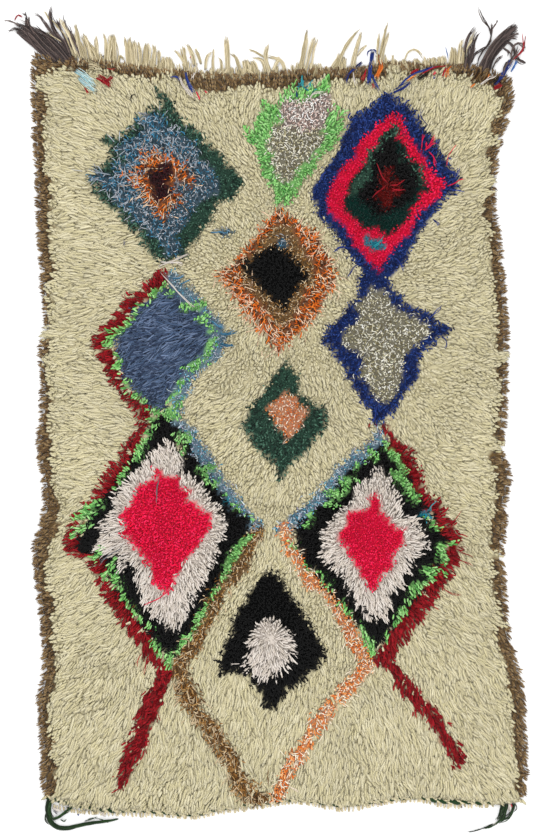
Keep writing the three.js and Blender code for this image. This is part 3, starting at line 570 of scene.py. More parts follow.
def lie_at(x, y):
    """Which way the pile lies at each place, as a part along X and a part along Y."""
    total = np.zeros((2,) + x.shape)
    weights = np.zeros(x.shape)
    for px, py, degrees, flat in LIE:
        middle_x, middle_y = spot((px, py))
        weight = 1 / (((x - middle_x) ** 2 + (y - middle_y) ** 2) + 60 ** 2) ** 1.5
        turn = math.radians(degrees)
        total += weight * flat * np.array([math.cos(turn),
                                           math.sin(turn)]).reshape((2,) + (1,) * x.ndim)
        weights += weight
    return total / weights


def outward_at(x, y):
    """The way out from the nearest lozenge's middle at each place."""
    best = np.full(x.shape, 1e9)
    out = np.zeros((2,) + x.shape)
    for middle in LOZENGE_MIDDLES:
        middle_x, middle_y = spot(middle)
        away = np.array([x - middle_x, y - middle_y])
        distance = np.hypot(away[0], 0.8 * away[1])
        nearer = distance < best
        best = np.where(nearer, distance, best)
        out = np.where(nearer, away / (np.hypot(*away) + 1), out)
    return out


class Locks:
    """Many locks of yarn as rows of numbers: each one's path, widths, shade and yarn."""

    def __init__(self, paths, widths, shades, side, fat):
        self.paths = paths
        self.widths = widths
        self.shades = shades
        self.side = side
        self.fat = fat

    def chosen(self, which):
        return Locks(self.paths[which], self.widths[which], self.shades[which], self.side[which],
                     self.fat[which])


ROOT_LEVEL = 2.4
OVERHANG = 11
BOTTOM_SHORT = 7
BOTTOM_BARE = ([-590, -500, -440, -180, -120, 20, 60, 180, 240, 415, 435, 545, 560, 600, 680],
               [0.0, 0.3, 1.6, 2.0, 1.0, 1.0, 1.9, 1.5, 1.8, 1.9, 2.9, 2.9, 2.1, 1.4, 1.2])
MINGLED = 4
CLUMP_WAVES = [(12.9898, 78.233), (39.346, 11.135), (73.156, 52.235), (26.651, 61.317),
               (94.673, 33.719)]
RING_SHARES = {1: [0.66], 2: [0.36, 0.76]}
RING_WIDTHS = {1: [1.0], 2: [0.86, 0.92]}


def clumps(x, y, pitch):
    """The middle of the clump that each place belongs to, and three lucky numbers of that clump."""
    best = np.full(x.size, 1e9)
    found_x, found_y = x.copy(), y.copy()
    luck = np.zeros((3, x.size))
    cell_i, cell_j = np.floor(x / pitch), np.floor(y / pitch)
    for di in (-1, 0, 1):
        for dj in (-1, 0, 1):
            i, j = cell_i + di, cell_j + dj
            numbers = [np.modf(np.abs(np.sin(i * a + j * b) * 43758.5453))[0] for a, b in CLUMP_WAVES]
            middle_x, middle_y = (i + numbers[0]) * pitch, (j + numbers[1]) * pitch
            distance = np.hypot(x - middle_x, y - middle_y)
            nearer = distance < best
            best = np.where(nearer, distance, best)
            found_x = np.where(nearer, middle_x, found_x)
            found_y = np.where(nearer, middle_y, found_y)
            luck = np.where(nearer, np.array(numbers[2:]), luck)
    return found_x, found_y, luck


def pile_locks(name, seed, rings):
    """All locks of one yarn, knotted in uneven rows over the rug."""
    yarn = YARNS[name]
    chance = np.random.default_rng(seed)
    step = yarn.spacing
    columns = np.arange(-640, 700, step)
    rows = np.arange(-1060, 960, step)
    x, y = [grid.ravel() for grid in np.meshgrid(columns, rows)]
    x = x + chance.uniform(-0.45, 0.45, x.size) * step
    y = y + chance.uniform(-0.45, 0.45, y.size) * step
    rim = edge_distances(x, y).min(axis=0)
    keep = rim > 9
    keep[keep] = yarn_at(x[keep], y[keep], MINGLED) == YARN_NAMES.index(name)
    for turns in PARTINGS:
        keep &= band_distance(turns, x, y) > 2.5 * unevenness(x, y, 12, 1)
    x, y = x[keep], y[keep]
    count = x.size
    edges = edge_distances(x, y)
    rim = edges.min(axis=0)

    lie = lie_at(x, y)
    lie = lie * (1 - yarn.outward) + outward_at(x, y) * yarn.outward
    if yarn.angle is not None:
        lie = np.array([[math.cos(math.radians(yarn.angle))], [math.sin(math.radians(yarn.angle))]])
        lie = np.repeat(lie, count, axis=1)
    to_rim = np.array([edges[1] < edges[0], edges[3] < edges[2]]) * 2.0 - 1.0
    near = smooth(1 - np.minimum(edges[:2], 80).reshape(2, -1).min(axis=0) / 50)
    near_end = smooth(1 - np.minimum(edges[2], edges[3]) / 50)
    lie[0] = lie[0] * (1 - near) + to_rim[0] * near
    lie[1] = lie[1] * (1 - near_end) + to_rim[1] * near_end
    lie = lie + 0.25 * np.array([unevenness(x, y, 45, 2), unevenness(x, y, 45, 3)])
    flat = np.hypot(lie[0], lie[1])
    angle = np.arctan2(lie[1], lie[0])
    angle = angle + np.radians(yarn.spread) * chance.normal(0, 1, count)
    flat = np.clip(flat, 0.35, 1.1)

    clump_x, clump_y, luck = clumps(x, y, yarn.clump_pitch)
    angle = angle + np.radians(yarn.clump_spread) * (2 * luck[0] - 1)
    reach = yarn.reach * flat * chance.uniform(0.75, 1.2, count) * (0.85 + 0.3 * luck[1])
    wild = chance.random(count) < yarn.wild
    reach = np.where(wild, reach * 2.3, reach)
    lie_x, lie_y = np.cos(angle), np.sin(angle)
    tip_x = x + lie_x * reach
    tip_y = y + lie_y * reach
    if yarn.yields < 1:
        crossing = yarn_at(tip_x, tip_y) != YARN_NAMES.index(name)
        reach = np.where(crossing, reach * yarn.yields, reach)
        tip_x = x + lie_x * reach
        tip_y = y + lie_y * reach
    aside = (clump_x - x) * -lie_y + (clump_y - y) * lie_x
    tip_x += -lie_y * aside * yarn.clump
    tip_y += lie_x * aside * yarn.clump

    for turns in PARTINGS:
        (x0, y0), (x1, y1) = spot(turns[0][:2]), spot(turns[-1][:2])
        run = np.array([x1 - x0, y1 - y0]) / math.hypot(x1 - x0, y1 - y0)
        away = (x - x0) * -run[1] + (y - y0) * run[0]
        push = 6 * np.sign(away) * smooth(1 - band_distance(turns, x, y) / 14)
        tip_x += -run[1] * push
        tip_y += run[0] * push

    ends = edge_distances(tip_x, tip_y)
    ends[2] -= BOTTOM_SHORT * np.interp(tip_x, *BOTTOM_BARE)
    beyond = -chance.uniform(0, OVERHANG, count) - ends.min(axis=0)
    kept = np.clip(1 - np.maximum(beyond, 0) / (np.hypot(tip_x - x, tip_y - y) + 1), 0.25, 1)
    tip_x = x + (tip_x - x) * kept
    tip_y = y + (tip_y - y) * kept

    roll = rim_roll(rim)
    height = yarn.height / 19 * (pile_top(x, y) - 1.5) * roll * chance.uniform(0.86, 1.04, count)
    height *= 0.9 + 0.16 * luck[2]
    root = np.stack([x, y, ROOT_LEVEL + 4 * smooth(rim / RIM_ROLL - 0.4)], axis=1)
    tip = np.stack([tip_x, tip_y, height * (1 - 0.42 * smooth(flat - 0.2))], axis=1)
    curl = yarn.curl * chance.normal(0, 1, count) * np.where(wild, 2, 1)
    bend = root * 0.6 + tip * 0.4
    bend[:, 0] += -lie_y * curl
    bend[:, 1] += lie_x * curl
    bend[:, 2] = height * 1.25
    shares = np.array([0] + RING_SHARES[rings] + [1.0]).reshape(1, -1, 1)
    paths = (root[:, None] * (1 - shares) ** 2 + bend[:, None] * 2 * shares * (1 - shares)
             + tip[:, None] * shares ** 2)
    ring_widths = np.array([0] + RING_WIDTHS[rings] + [0]).reshape(1, -1)
    widths = 0.5 * yarn.width * ring_widths * chance.uniform(0.8, 1.2, (count, 1))
    widths = np.where(wild[:, None], 0.8 * widths, widths)
    tone = 1 + yarn.tone * chance.normal(0, 1, (count, 1))
    clump_tone = 0.94 + 0.1 * luck[1] + 0.05 * unevenness(x, y, 90, 6)
    pick = np.where(wild, np.argmax(yarn.shades.sum(axis=1)),
                    chance.integers(0, len(yarn.shades), count))
    shades = yarn.shades[pick] * tone * clump_tone[:, None]
    side = np.stack([-lie_y, lie_x, np.zeros(count)], axis=1)
    return Locks(paths, widths, np.clip(shades, 0.002, 1), side, np.full(count, yarn.fat))


def joined(groups):
    return Locks(*[np.concatenate([getattr(group, part) for group in groups])
                   for part in ("paths", "widths", "shades", "side", "fat")])


def yarn_mesh(name, locks, sides, material):
    """One joined mesh of closed tapering locks, with a small cell of the picture map for each."""
    count, points = locks.paths.shape[:2]
    rings = points - 2
    ways = np.zeros_like(locks.paths)
    ways[:, 1:-1] = locks.paths[:, 2:] - locks.paths[:, :-2]
    ways = ways[:, 1:-1]
    ways /= np.linalg.norm(ways, axis=2, keepdims=True)
    up = np.cross(ways, locks.side[:, None] if locks.side.ndim == 2 else locks.side[:, 1:-1])
    up /= np.linalg.norm(up, axis=2, keepdims=True)
    across = np.cross(up, ways)
    turns = 2 * np.pi * (np.arange(sides) + 0.25) / sides
    wide = locks.widths[:, 1:-1, None, None]
    ring_points = (locks.paths[:, 1:-1, None]
                   + across[:, :, None] * np.cos(turns)[:, None] * wide
                   + up[:, :, None] * np.sin(turns)[:, None] * wide * locks.fat[:, None, None, None])
    vertices = np.concatenate([
        locks.paths[:, :1], ring_points.reshape(count, rings * sides, 3), locks.paths[:, -1:],
    ], axis=1)
    per_lock = 2 + rings * sides
    last = per_lock - 1
    faces, places = [], []
    for j in range(sides):
        k = (j + 1) % sides
        left, right = j / sides, (j + 1) / sides
        faces.append((0, 1 + k, 1 + j))
        places.append(((left + right) / 2, 0, right, 1 / (rings + 1), left, 1 / (rings + 1)))
        for ring in range(rings - 1):
            a, b = 1 + ring * sides, 1 + (ring + 1) * sides
            low, high = (ring + 1) / (rings + 1), (ring + 2) / (rings + 1)
            faces.append((a + j, a + k, b + k))
            places.append((left, low, right, low, right, high))
            faces.append((a + j, b + k, b + j))
            places.append((left, low, right, high, left, high))
        a = 1 + (rings - 1) * sides
        low = rings / (rings + 1)
        faces.append((a + j, a + k, last))
        places.append((left, low, right, low, (left + right) / 2, 1))
    faces = np.array(faces)
    corners = (faces[None] + np.arange(count)[:, None, None] * per_lock).reshape(-1)
    heights = np.linspace(0, 1, points)
    lengthwise = np.concatenate([[0], np.repeat(heights[1:-1], sides), [1]])

    mesh = bpy.data.meshes.new(name)
    mesh.vertices.add(count * per_lock)
    mesh.vertices.foreach_set("co", (vertices * MM).reshape(-1))
    mesh.loops.add(corners.size)
    mesh.loops.foreach_set("vertex_index", corners)
    mesh.polygons.add(corners.size // 3)
    mesh.polygons.foreach_set("loop_start", np.arange(0, corners.size, 3))
    mesh.polygons.foreach_set("use_smooth", np.ones(corners.size // 3, bool))
    mesh.update(calc_edges=True)
    dye = mesh.attributes.new("dye", "FLOAT_COLOR", "POINT")
    colours = np.ones((count, per_lock, 4))
    colours[:, :, :3] = locks.shades[:, None]
    dye.data.foreach_set("color", colours.reshape(-1))
    run = mesh.attributes.new("along", "FLOAT", "POINT")
    run.data.foreach_set("value", np.tile(lengthwise, count))
    cells = math.ceil(math.sqrt(count))
    local = 0.1 + 0.8 * np.array(places).reshape(1, -1, 2)
    cell = np.stack([np.arange(count) % cells, np.arange(count) // cells], axis=1)[:, None]
    picture = mesh.uv_layers.new(name="OFBake")
    picture.uv.foreach_set("vector", ((local + cell) / cells).reshape(-1))
    piece = bpy.data.objects.new(name, mesh)
    bpy.context.scene.collection.objects.link(piece)
    piece.data.materials.append(material)
    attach(piece, "root")
    return piece


class Value:
    """A shader socket that can be added to, multiplied and so on, as a number can."""

    def __init__(self, paint, socket):
        self.paint = paint
        self.socket = socket

    def maths(self, operation, other, swapped=False):
        pair = (other, self) if swapped else (self, other)
        return self.paint.node("ShaderNodeMath", {"operation": operation}, *pair)

    def __add__(self, other):
        return self.maths("ADD", other)

    def __radd__(self, other):
        return self.maths("ADD", other, True)

    def __mul__(self, other):
        return self.maths("MULTIPLY", other)

    def __rmul__(self, other):
        return self.maths("MULTIPLY", other, True)

    def __pow__(self, other):
        return self.maths("POWER", other)


class Paint:
    """A material under construction, and its nodes."""

    def __init__(self, name):
        self.material = bpy.data.materials.new(name)
        self.material.use_nodes = True
        self.tree = self.material.node_tree
        self.skin = self.tree.nodes["Principled BSDF"]

    def node(self, kind, settings, *values, output=0, **named):
        """A node, its sockets filled in order or by name, with a value or with another node's."""
        made = self.tree.nodes.new(kind)
        for key, setting in settings.items():
            setattr(made, key, setting)
        for place, value in enumerate(values):
            self.join(made.inputs[place], value)
        for name, value in named.items():
            self.join(made.inputs[name], value)
        return Value(self, made.outputs[output])

    def join(self, target, value):
        if isinstance(value, Value):
            self.tree.links.new(value.socket, target)
        elif value is not None:
            target.default_value = value

    def set(self, **values):
        for name, value in values.items():
            self.join(self.skin.inputs[name.replace("_", " ")], value)


def noise(paint, scale, detail=2.0):
    place = paint.node("ShaderNodeTexCoord", {}, output=3)
    return paint.node("ShaderNodeTexNoise", {}, place, Scale=scale, Detail=detail)


def tinted(paint, colour, share):
    """A colour made darker or lighter by a share."""
    return paint.node("ShaderNodeVectorMath", {"operation": "SCALE"}, colour, Scale=share)


def bumped(paint, height, distance, strength):
    return paint.node("ShaderNodeBump", {}, Strength=strength, Distance=distance, Height=height)


def wool(name, painted_root_shade=0.42, roughness=0.92, sheen=0.15, fibre_scale=900, streak=0.28):
    """Dyed wool: its colour comes with each lock, and painted shade darkens it towards the lock's first
    end, its root, where shadow falls deep in the pile; a root value above 1 paints light there instead.
    """
    paint = Paint(name)
    dye = paint.node("ShaderNodeAttribute", {"attribute_name": "dye"})
    run = paint.node("ShaderNodeAttribute", {"attribute_name": "along"}, output=2)
    fibres = noise(paint, fibre_scale)
    # Painted shade: the colour darkens towards each lock's root, where the pile would shadow it; a root
    # value above 1 paints light there instead.
    painted_root_shading = painted_root_shade + (1 - painted_root_shade) * run ** 0.6
    shade = painted_root_shading * (1 - 0.5 * streak + streak * fibres)
    paint.set(Base_Color=tinted(paint, dye, shade), Roughness=roughness, Sheen_Weight=sheen,
              Sheen_Roughness=0.5, Specular_IOR_Level=0.15,
              Normal=bumped(paint, fibres, 0.0006, 0.5))
    return paint.material


# Green wool, with painted shade towards each yarn's first end.
green_wool = wool("green wool", painted_root_shade=0.8)
GREEN_SHADES = [(28, 52, 22), (20, 40, 16), (40, 70, 32), (16, 30, 14)]

# Loose green cord at the bottom left corner: the frame's route, in millimetres
CORD_LEVEL = 5.1
CORD_ROUTE = [
    (-565, -1031.7), (-566, -1044), (-560, -1058), (-546, -1068), (-527, -1072), (-505, -1069),
    (-482, -1063), (-452, -1058), (-422, -1054), (-403, -1051), (-385, -1047.2),
]
CORD_POINTS = 40
CORD_YARNS = 26
CORD_SWELL = ([0, 0.1, 0.35, 0.55, 0.85, 1], [1.4, 1.6, 1.4, 1.05, 0.8, 0.35])
CORD_HALF_HEIGHT = 3.9
CORD_CORE_RADIUS = 3.2
CORD_RING_RADIUS = 3.3
CORD_YARN_RADIUS = 0.95
CORD_TURNS = 1.2


def cord_middle(count):
    """Points evenly along the cord's route."""
    x, y = np.array(CORD_ROUTE).T
    run = np.concatenate([[0], np.cumsum(np.hypot(np.diff(x), np.diff(y)))])
    place = np.linspace(0, run[-1], count)
    return np.stack([along(np.array([run, x]).T, place), along(np.array([run, y]).T, place),
                     np.full(count, CORD_LEVEL)], axis=1)


def cord_yarns():
    """Yarns laid round the cord's middle with a slow twist, on a solid green core."""
    middle = cord_middle(CORD_POINTS)
    ways = np.gradient(middle, axis=0)
    ways /= np.linalg.norm(ways, axis=1, keepdims=True)
    side = np.stack([-ways[:, 1], ways[:, 0], np.zeros(CORD_POINTS)], axis=1)
    chance = np.random.default_rng(37)
    share = np.linspace(0, 1, CORD_POINTS)
    palette = np.array([from_screen(shade) for shade in GREEN_SHADES])
    swell = np.interp(share, *CORD_SWELL)
    paths = [middle]
    widths = [np.minimum(CORD_CORE_RADIUS * swell, CORD_HALF_HEIGHT)]
    shades = [palette[1]]
    sides = [side]
    for yarn in range(CORD_YARNS):
        turn = 2 * np.pi * (yarn / CORD_YARNS + CORD_TURNS * share) + chance.normal(0, 0.15)
        ring = (CORD_RING_RADIUS + 0.5 * np.sin(9 * share + 5 * yarn)) * swell
        lift = np.minimum(ring, CORD_HALF_HEIGHT) * np.sin(turn)
        off = side * (ring * np.cos(turn))[:, None] + np.array([0, 0, 1]) * lift[:, None]
        paths.append(middle + off)
        widths.append(np.full(CORD_POINTS, CORD_YARN_RADIUS))
        shades.append(palette[yarn % len(palette)] * chance.uniform(0.8, 1.25))
        sides.append(side)
    return Locks(np.array(paths), np.array(widths), np.array(shades), np.array(sides),
                 np.ones(CORD_YARNS + 1))


cord = yarn_mesh("green_cord_yarns", cord_yarns(), 5, green_wool)
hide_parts("green_cord")
cord_path = cord_middle(CORD_POINTS) * MM

# Ivory's root value above 1 paints light at the roots to lift the real shadow between the locks; brown
# and dyed wool get painted shade there.
ivory_wool = wool("ivory wool", painted_root_shade=1.3, sheen=0.1, streak=0.12)
brown_wool = wool("brown wool")
dyed_wool = wool("dyed wool", painted_root_shade=0.65, sheen=0.05)

# Pile
ivory_locks = pile_locks("ivory", 11, 2)
IVORY_STRIPS = [("left", -700, -300), ("mid_left", -300, 20), ("mid_right", 20, 330),
                ("right", 330, 800)]
for label, start, end in IVORY_STRIPS:
    where = (ivory_locks.paths[:, 0, 0] >= start) & (ivory_locks.paths[:, 0, 0] < end)
    piece = yarn_mesh(f"ivory_pile_{label}", ivory_locks.chosen(where), 3, ivory_wool)
yarn_mesh("brown_pile_border", pile_locks("brown", 12, 1), 3, brown_wool)
dyed = joined([pile_locks(name, 20 + place, 2) for place, name in enumerate(YARN_NAMES[2:])])
DYED_PARTS = [("left", -700, -95), ("middle", -95, 150), ("right", 150, 800)]
for label, start, end in DYED_PARTS:
    where = (dyed.paths[:, 0, 0] >= start) & (dyed.paths[:, 0, 0] < end)
    yarn_mesh(f"dyed_pile_{label}", dyed.chosen(where), 3, dyed_wool)

# Woven foundation under the pile
FOUNDATION_INSET = 11
BOTTOM_INSET = 0.5
FOUNDATION_THICKNESS = 3
PACKED_SHARE = 0.4
FOUNDATION_CELLS = (84, 128)


def foundation_paint():
    """The weave, with the roots of the knots showing in their own dye, darkened by a share as painted
    shade for the shadow between the locks.
    """
    paint = Paint("woven foundation")
    grain = noise(paint, 700)
    dye = paint.node("ShaderNodeAttribute", {"attribute_name": "dye"})
    paint.set(Base_Color=tinted(paint, dye, 0.8 + 0.4 * grain), Roughness=0.95,
              Specular_IOR_Level=0.15, Normal=bumped(paint, grain, 0.001, 0.6))
    return paint.material


def woven_foundation():
    shape = bmesh.new()
    cells = FOUNDATION_CELLS
    bmesh.ops.create_grid(shape, x_segments=cells[0], y_segments=cells[1], size=0.5)
    u, v = (np.array([vertex.co[:2] for vertex in shape.verts]) + 0.5).T
    x = -612 + 1240 * u
    for _ in range(4):
        bottom = along(BOTTOM_EDGE, x) + BOTTOM_INSET
        y = bottom * (1 - v) + (along(TOP_EDGE, x) - FOUNDATION_INSET) * v
        left = along(LEFT_EDGE, y) + FOUNDATION_INSET
        x = left * (1 - u) + (along(RIGHT_EDGE, y) - FOUNDATION_INSET) * u
    for vertex, place_x, place_y in zip(shape.verts, x, y):
        vertex.co = Vector((place_x * MM, place_y * MM, 0.3 * MM))
    made = bmesh.ops.extrude_face_region(shape, geom=shape.faces[:])
    top = [item for item in made["geom"] if isinstance(item, bmesh.types.BMVert)]
    x, y = np.array([vertex.co[:2] for vertex in top]).T / MM
    packed = PACKED_SHARE * (pile_top(x, y) - 5)
    packed *= smooth((edge_distances(x, y).min(axis=0) - FOUNDATION_INSET) / RIM_ROLL)
    for vertex, rise in zip(top, FOUNDATION_THICKNESS + packed):
        vertex.co.z += rise * MM
    bmesh.ops.recalc_face_normals(shape, faces=shape.faces)
    mesh = bpy.data.meshes.new("woven_foundation")
    shape.to_mesh(mesh)
    shape.free()
    places = np.array([vertex.co for vertex in mesh.vertices]) / MM
    # The foundation takes each knot's yarn colour darkened by that yarn's share, as painted shade where
    # it shows between the locks.
    knot_colours_in_painted_shade = np.array([yarn.shades.mean(axis=0) * yarn.painted_gap_shade for yarn in YARNS.values()])
    colours = np.ones((len(places), 4))
    colours[:, :3] = knot_colours_in_painted_shade[yarn_at(places[:, 0], places[:, 1])]
    dye = mesh.attributes.new("dye", "FLOAT_COLOR", "POINT")
    dye.data.foreach_set("color", colours.reshape(-1))
    piece = bpy.data.objects.new("woven_foundation", mesh)
    bpy.context.scene.collection.objects.link(piece)
    mesh.materials.append(foundation_paint())
    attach(piece, "root")
    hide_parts("shag_rug")
    return piece


foundation = woven_foundation()

# Free yarns: fringe, tassels, tail and the strands that lie over the pile. Each row is a bunch:
# its dye, how many yarns, half its width and its turns in pixels of the photograph.
STRAND_DYES = {
    "warp": [(206, 192, 156), (188, 174, 138), (218, 205, 172), (172, 158, 122)],
    "selvedge": [(84, 71, 68), (62, 52, 50), (102, 87, 82), (48, 39, 38)],
    "white": [(226, 218, 210), (214, 204, 194)],
    "navy": [(30, 50, 124), (20, 36, 96), (42, 66, 144)],
    "blue": [(40, 84, 150), (52, 98, 164)],
    "red": [(150, 20, 32), (170, 28, 40), (126, 12, 22)],
    "crimson": [(214, 20, 66)],
    "sky": [(184, 216, 220), (160, 200, 206), (204, 226, 226)],
    "teal": [(60, 170, 178), (48, 150, 160)],
    "orange": [(226, 126, 48), (214, 104, 34), (236, 156, 86)],
    "black": [(24, 22, 22)],
    "forest": [(34, 66, 56)],
    "light green": [(132, 206, 108)],
    "grey": [(120, 120, 124), (96, 92, 98)],
    "brown": [(96, 68, 34), (70, 46, 20), (128, 98, 60)],
    "green": GREEN_SHADES,
    "tweed": [(70, 130, 164), (150, 160, 172), (46, 96, 124)],
}
FRINGE = [
    ("brown", 16, 4, [(70, 66), (70, 60), (69, 54)]),
    ("selvedge", 8, 3, [(70, 62), (67, 56), (64, 51)]),
    ("warp", 5, 1.5, [(76, 60), (72, 42), (66, 25)]), ("warp", 9, 2.2, [(82, 60), (78, 40), (75, 21)]),
    ("warp", 5, 1.6, [(86, 60), (80, 44), (72, 30)]), ("warp", 12, 3, [(91, 61), (87, 46), (82, 32)]),
    ("warp", 5, 1.6, [(96, 61), (96, 46), (95, 33)]), ("warp", 5, 1.5, [(99, 62), (94, 50), (88, 41)]),
    ("warp", 4, 1.2, [(105, 62), (106, 46), (103, 29)]),
    ("warp", 20, 4.5, [(112, 63), (113, 46), (112, 32)]),
    ("warp", 4, 1, [(118, 64), (120, 56), (126, 60)]),
    ("warp", 6, 1.6, [(128, 66), (126, 46), (123, 33)]),
    ("warp", 8, 2.2, [(131, 67), (130, 50), (129, 35)]),
    ("warp", 8, 2, [(136, 68), (135, 52), (134, 38)]),
    ("warp", 5, 1.3, [(140, 68), (140, 52), (137, 39)]),
    ("warp", 12, 3, [(146, 69), (147, 54), (147, 41)]),
    ("warp", 7, 1.6, [(152, 70), (154, 56), (154, 42)]),
    ("warp", 5, 1.3, [(158, 71), (159, 60), (159, 48)]),
    ("warp", 16, 5, [(166, 72), (166, 62), (165, 55)]),
    ("warp", 6, 1.6, [(171, 72), (171, 62), (171, 55)]),
    ("warp", 4, 1, [(186, 68), (179, 54), (173, 48)]),
    ("warp", 7, 1.8, [(186, 70), (184, 56), (182, 44)]),
    ("warp", 4, 1, [(194, 66), (191, 52), (186, 41)]),
    ("warp", 4, 1, [(201, 64), (198, 54), (194, 46)]),
    ("warp", 4, 1, [(205, 70), (207, 56), (214, 52)]),
    ("warp", 4, 1, [(213, 74), (213, 58), (213, 44)]),
    ("warp", 4, 1, [(222, 74), (221, 60), (216, 56)]),
    ("warp", 10, 1.8, [(228, 76), (227, 52), (225, 31)]),
    ("warp", 6, 1.4, [(241, 74), (237, 60), (231, 51)]),
    ("warp", 14, 3.6, [(247, 76), (246, 64), (245, 58)]),
    ("warp", 14, 4, [(254, 76), (253, 66), (250, 60)]),
    ("warp", 5, 1.2, [(266, 74), (262, 60), (251, 57)]),
    ("warp", 3, 0.6, [(266, 58), (256, 52), (247, 49)]),
    ("warp", 8, 1.6, [(271, 76), (266, 56), (269, 41)]),
    ("warp", 6, 1.3, [(286, 74), (281, 60), (266, 56)]),
    ("warp", 5, 1.2, [(272, 72), (277, 62), (279, 55)]),
    ("warp", 9, 1.8, [(299, 76), (304, 50), (308, 27)]),
    ("warp", 6, 1.4, [(304, 76), (309, 54), (315, 34)]),
    ("warp", 4, 1, [(309, 76), (314, 52), (318, 35)]),
    ("warp", 6, 4, [(318, 78), (318, 70), (317, 66)]),
    ("warp", 8, 2, [(330, 74), (336, 62), (341, 52)]),
    ("warp", 8, 1.5, [(336, 72), (346, 46), (362, 26)]),
    ("warp", 9, 1.8, [(352, 70), (357, 46), (363, 28)]),
    ("warp", 3, 0.6, [(357, 56), (362, 49), (368, 43)]),
    ("warp", 8, 2, [(342, 76), (344, 62), (345, 55)]),
    ("warp", 4, 0.8, [(377, 66), (378, 48), (379, 29)]),
    ("warp", 4, 0.8, [(379, 66), (383, 42), (388, 20)]),
    ("warp", 5, 1, [(381, 66), (385, 44), (391, 27)]),
    ("warp", 3, 0.5, [(404, 62), (408, 52), (414, 49), (420, 52), (424, 59)]),
    ("warp", 14, 6, [(391, 74), (391, 64), (390, 58)]),
    ("warp", 10, 5, [(403, 73), (402, 63), (401, 58)]),
    ("warp", 16, 8, [(416, 72), (414, 62), (413, 58)]),
    ("warp", 16, 8, [(431, 71), (431, 62), (430, 56)]),
    ("warp", 10, 4, [(441, 69), (442, 60), (442, 54)]),
    ("warp", 14, 3, [(452, 68), (454, 56), (454, 45)]),
    ("warp", 6, 1.4, [(457, 67), (460, 50), (463, 36)]),
    ("warp", 6, 1.6, [(462, 66), (463, 56), (463, 45)]),
    ("warp", 18, 16, [(140, 70), (140, 64), (140, 61)]),
    ("warp", 12, 14, [(234, 76), (234, 69), (234, 66)]),
    ("warp", 10, 12, [(330, 76), (330, 69), (330, 66)]),
    ("warp", 3, 0.6, [(197, 68), (193, 54), (188, 42)]),
]
LEFT_TASSEL = [
    ("selvedge", 46, 7, [(58, 62), (44, 48), (32, 35), (20, 26), (13, 22)]),
    ("selvedge", 34, 5, [(70, 64), (57, 48), (43, 35), (29, 25)]),
    ("selvedge", 20, 2.4, [(46, 56), (33, 44), (23, 35), (13, 27)]),
    ("selvedge", 16, 3, [(58, 60), (50, 52), (44, 44)]),
    ("selvedge", 3, 0.7, [(20, 26), (12, 21), (6, 21), (1, 23)]),
    ("selvedge", 3, 0.7, [(22, 30), (16, 28), (11, 30), (6, 32)]),
    ("selvedge", 9, 2.6, [(36, 38), (29, 27), (27, 21), (26, 15)]),
    ("selvedge", 3, 0.6, [(28, 24), (26, 16), (24, 13), (22, 11)]),
    ("selvedge", 7, 1.1, [(70, 56), (60, 42), (51, 32), (46, 25), (40, 17), (34, 13), (28, 14)]),
    ("selvedge", 12, 1.7, [(71, 56), (64, 43), (56, 34), (52, 26), (50, 17), (51, 8), (53, 1)]),
    ("selvedge", 8, 1.6, [(69, 55), (64, 44), (58, 36), (54, 28)]),
    ("selvedge", 5, 0.8, [(70, 50), (64, 36), (58, 22), (54, 12)]),
    ("selvedge", 4, 0.8, [(73, 54), (68, 34), (64, 20), (65, 11)]),
    ("selvedge", 4, 0.7, [(80, 57), (75, 42), (71, 33), (65, 24)]),
    ("warp", 6, 1.2, [(78, 57), (69, 37), (61, 20), (56, 11)]),
    ("warp", 5, 1, [(74, 57), (68, 42), (60, 28), (53, 20)]),
    ("warp", 4, 0.8, [(69, 55), (66, 46), (56, 38), (49, 33), (43, 31)]),
    ("warp", 3, 0.8, [(60, 30), (54, 22), (48, 17), (42, 8)]),
    ("warp", 3, 1, [(51, 54), (50, 50), (50, 46)]), ("warp", 2, 0.5, [(46, 50), (43, 45), (41, 42)]),
    ("red", 2, 0.3, [(14, 20), (16, 16), (18, 14), (21, 16), (23, 19)]),
]
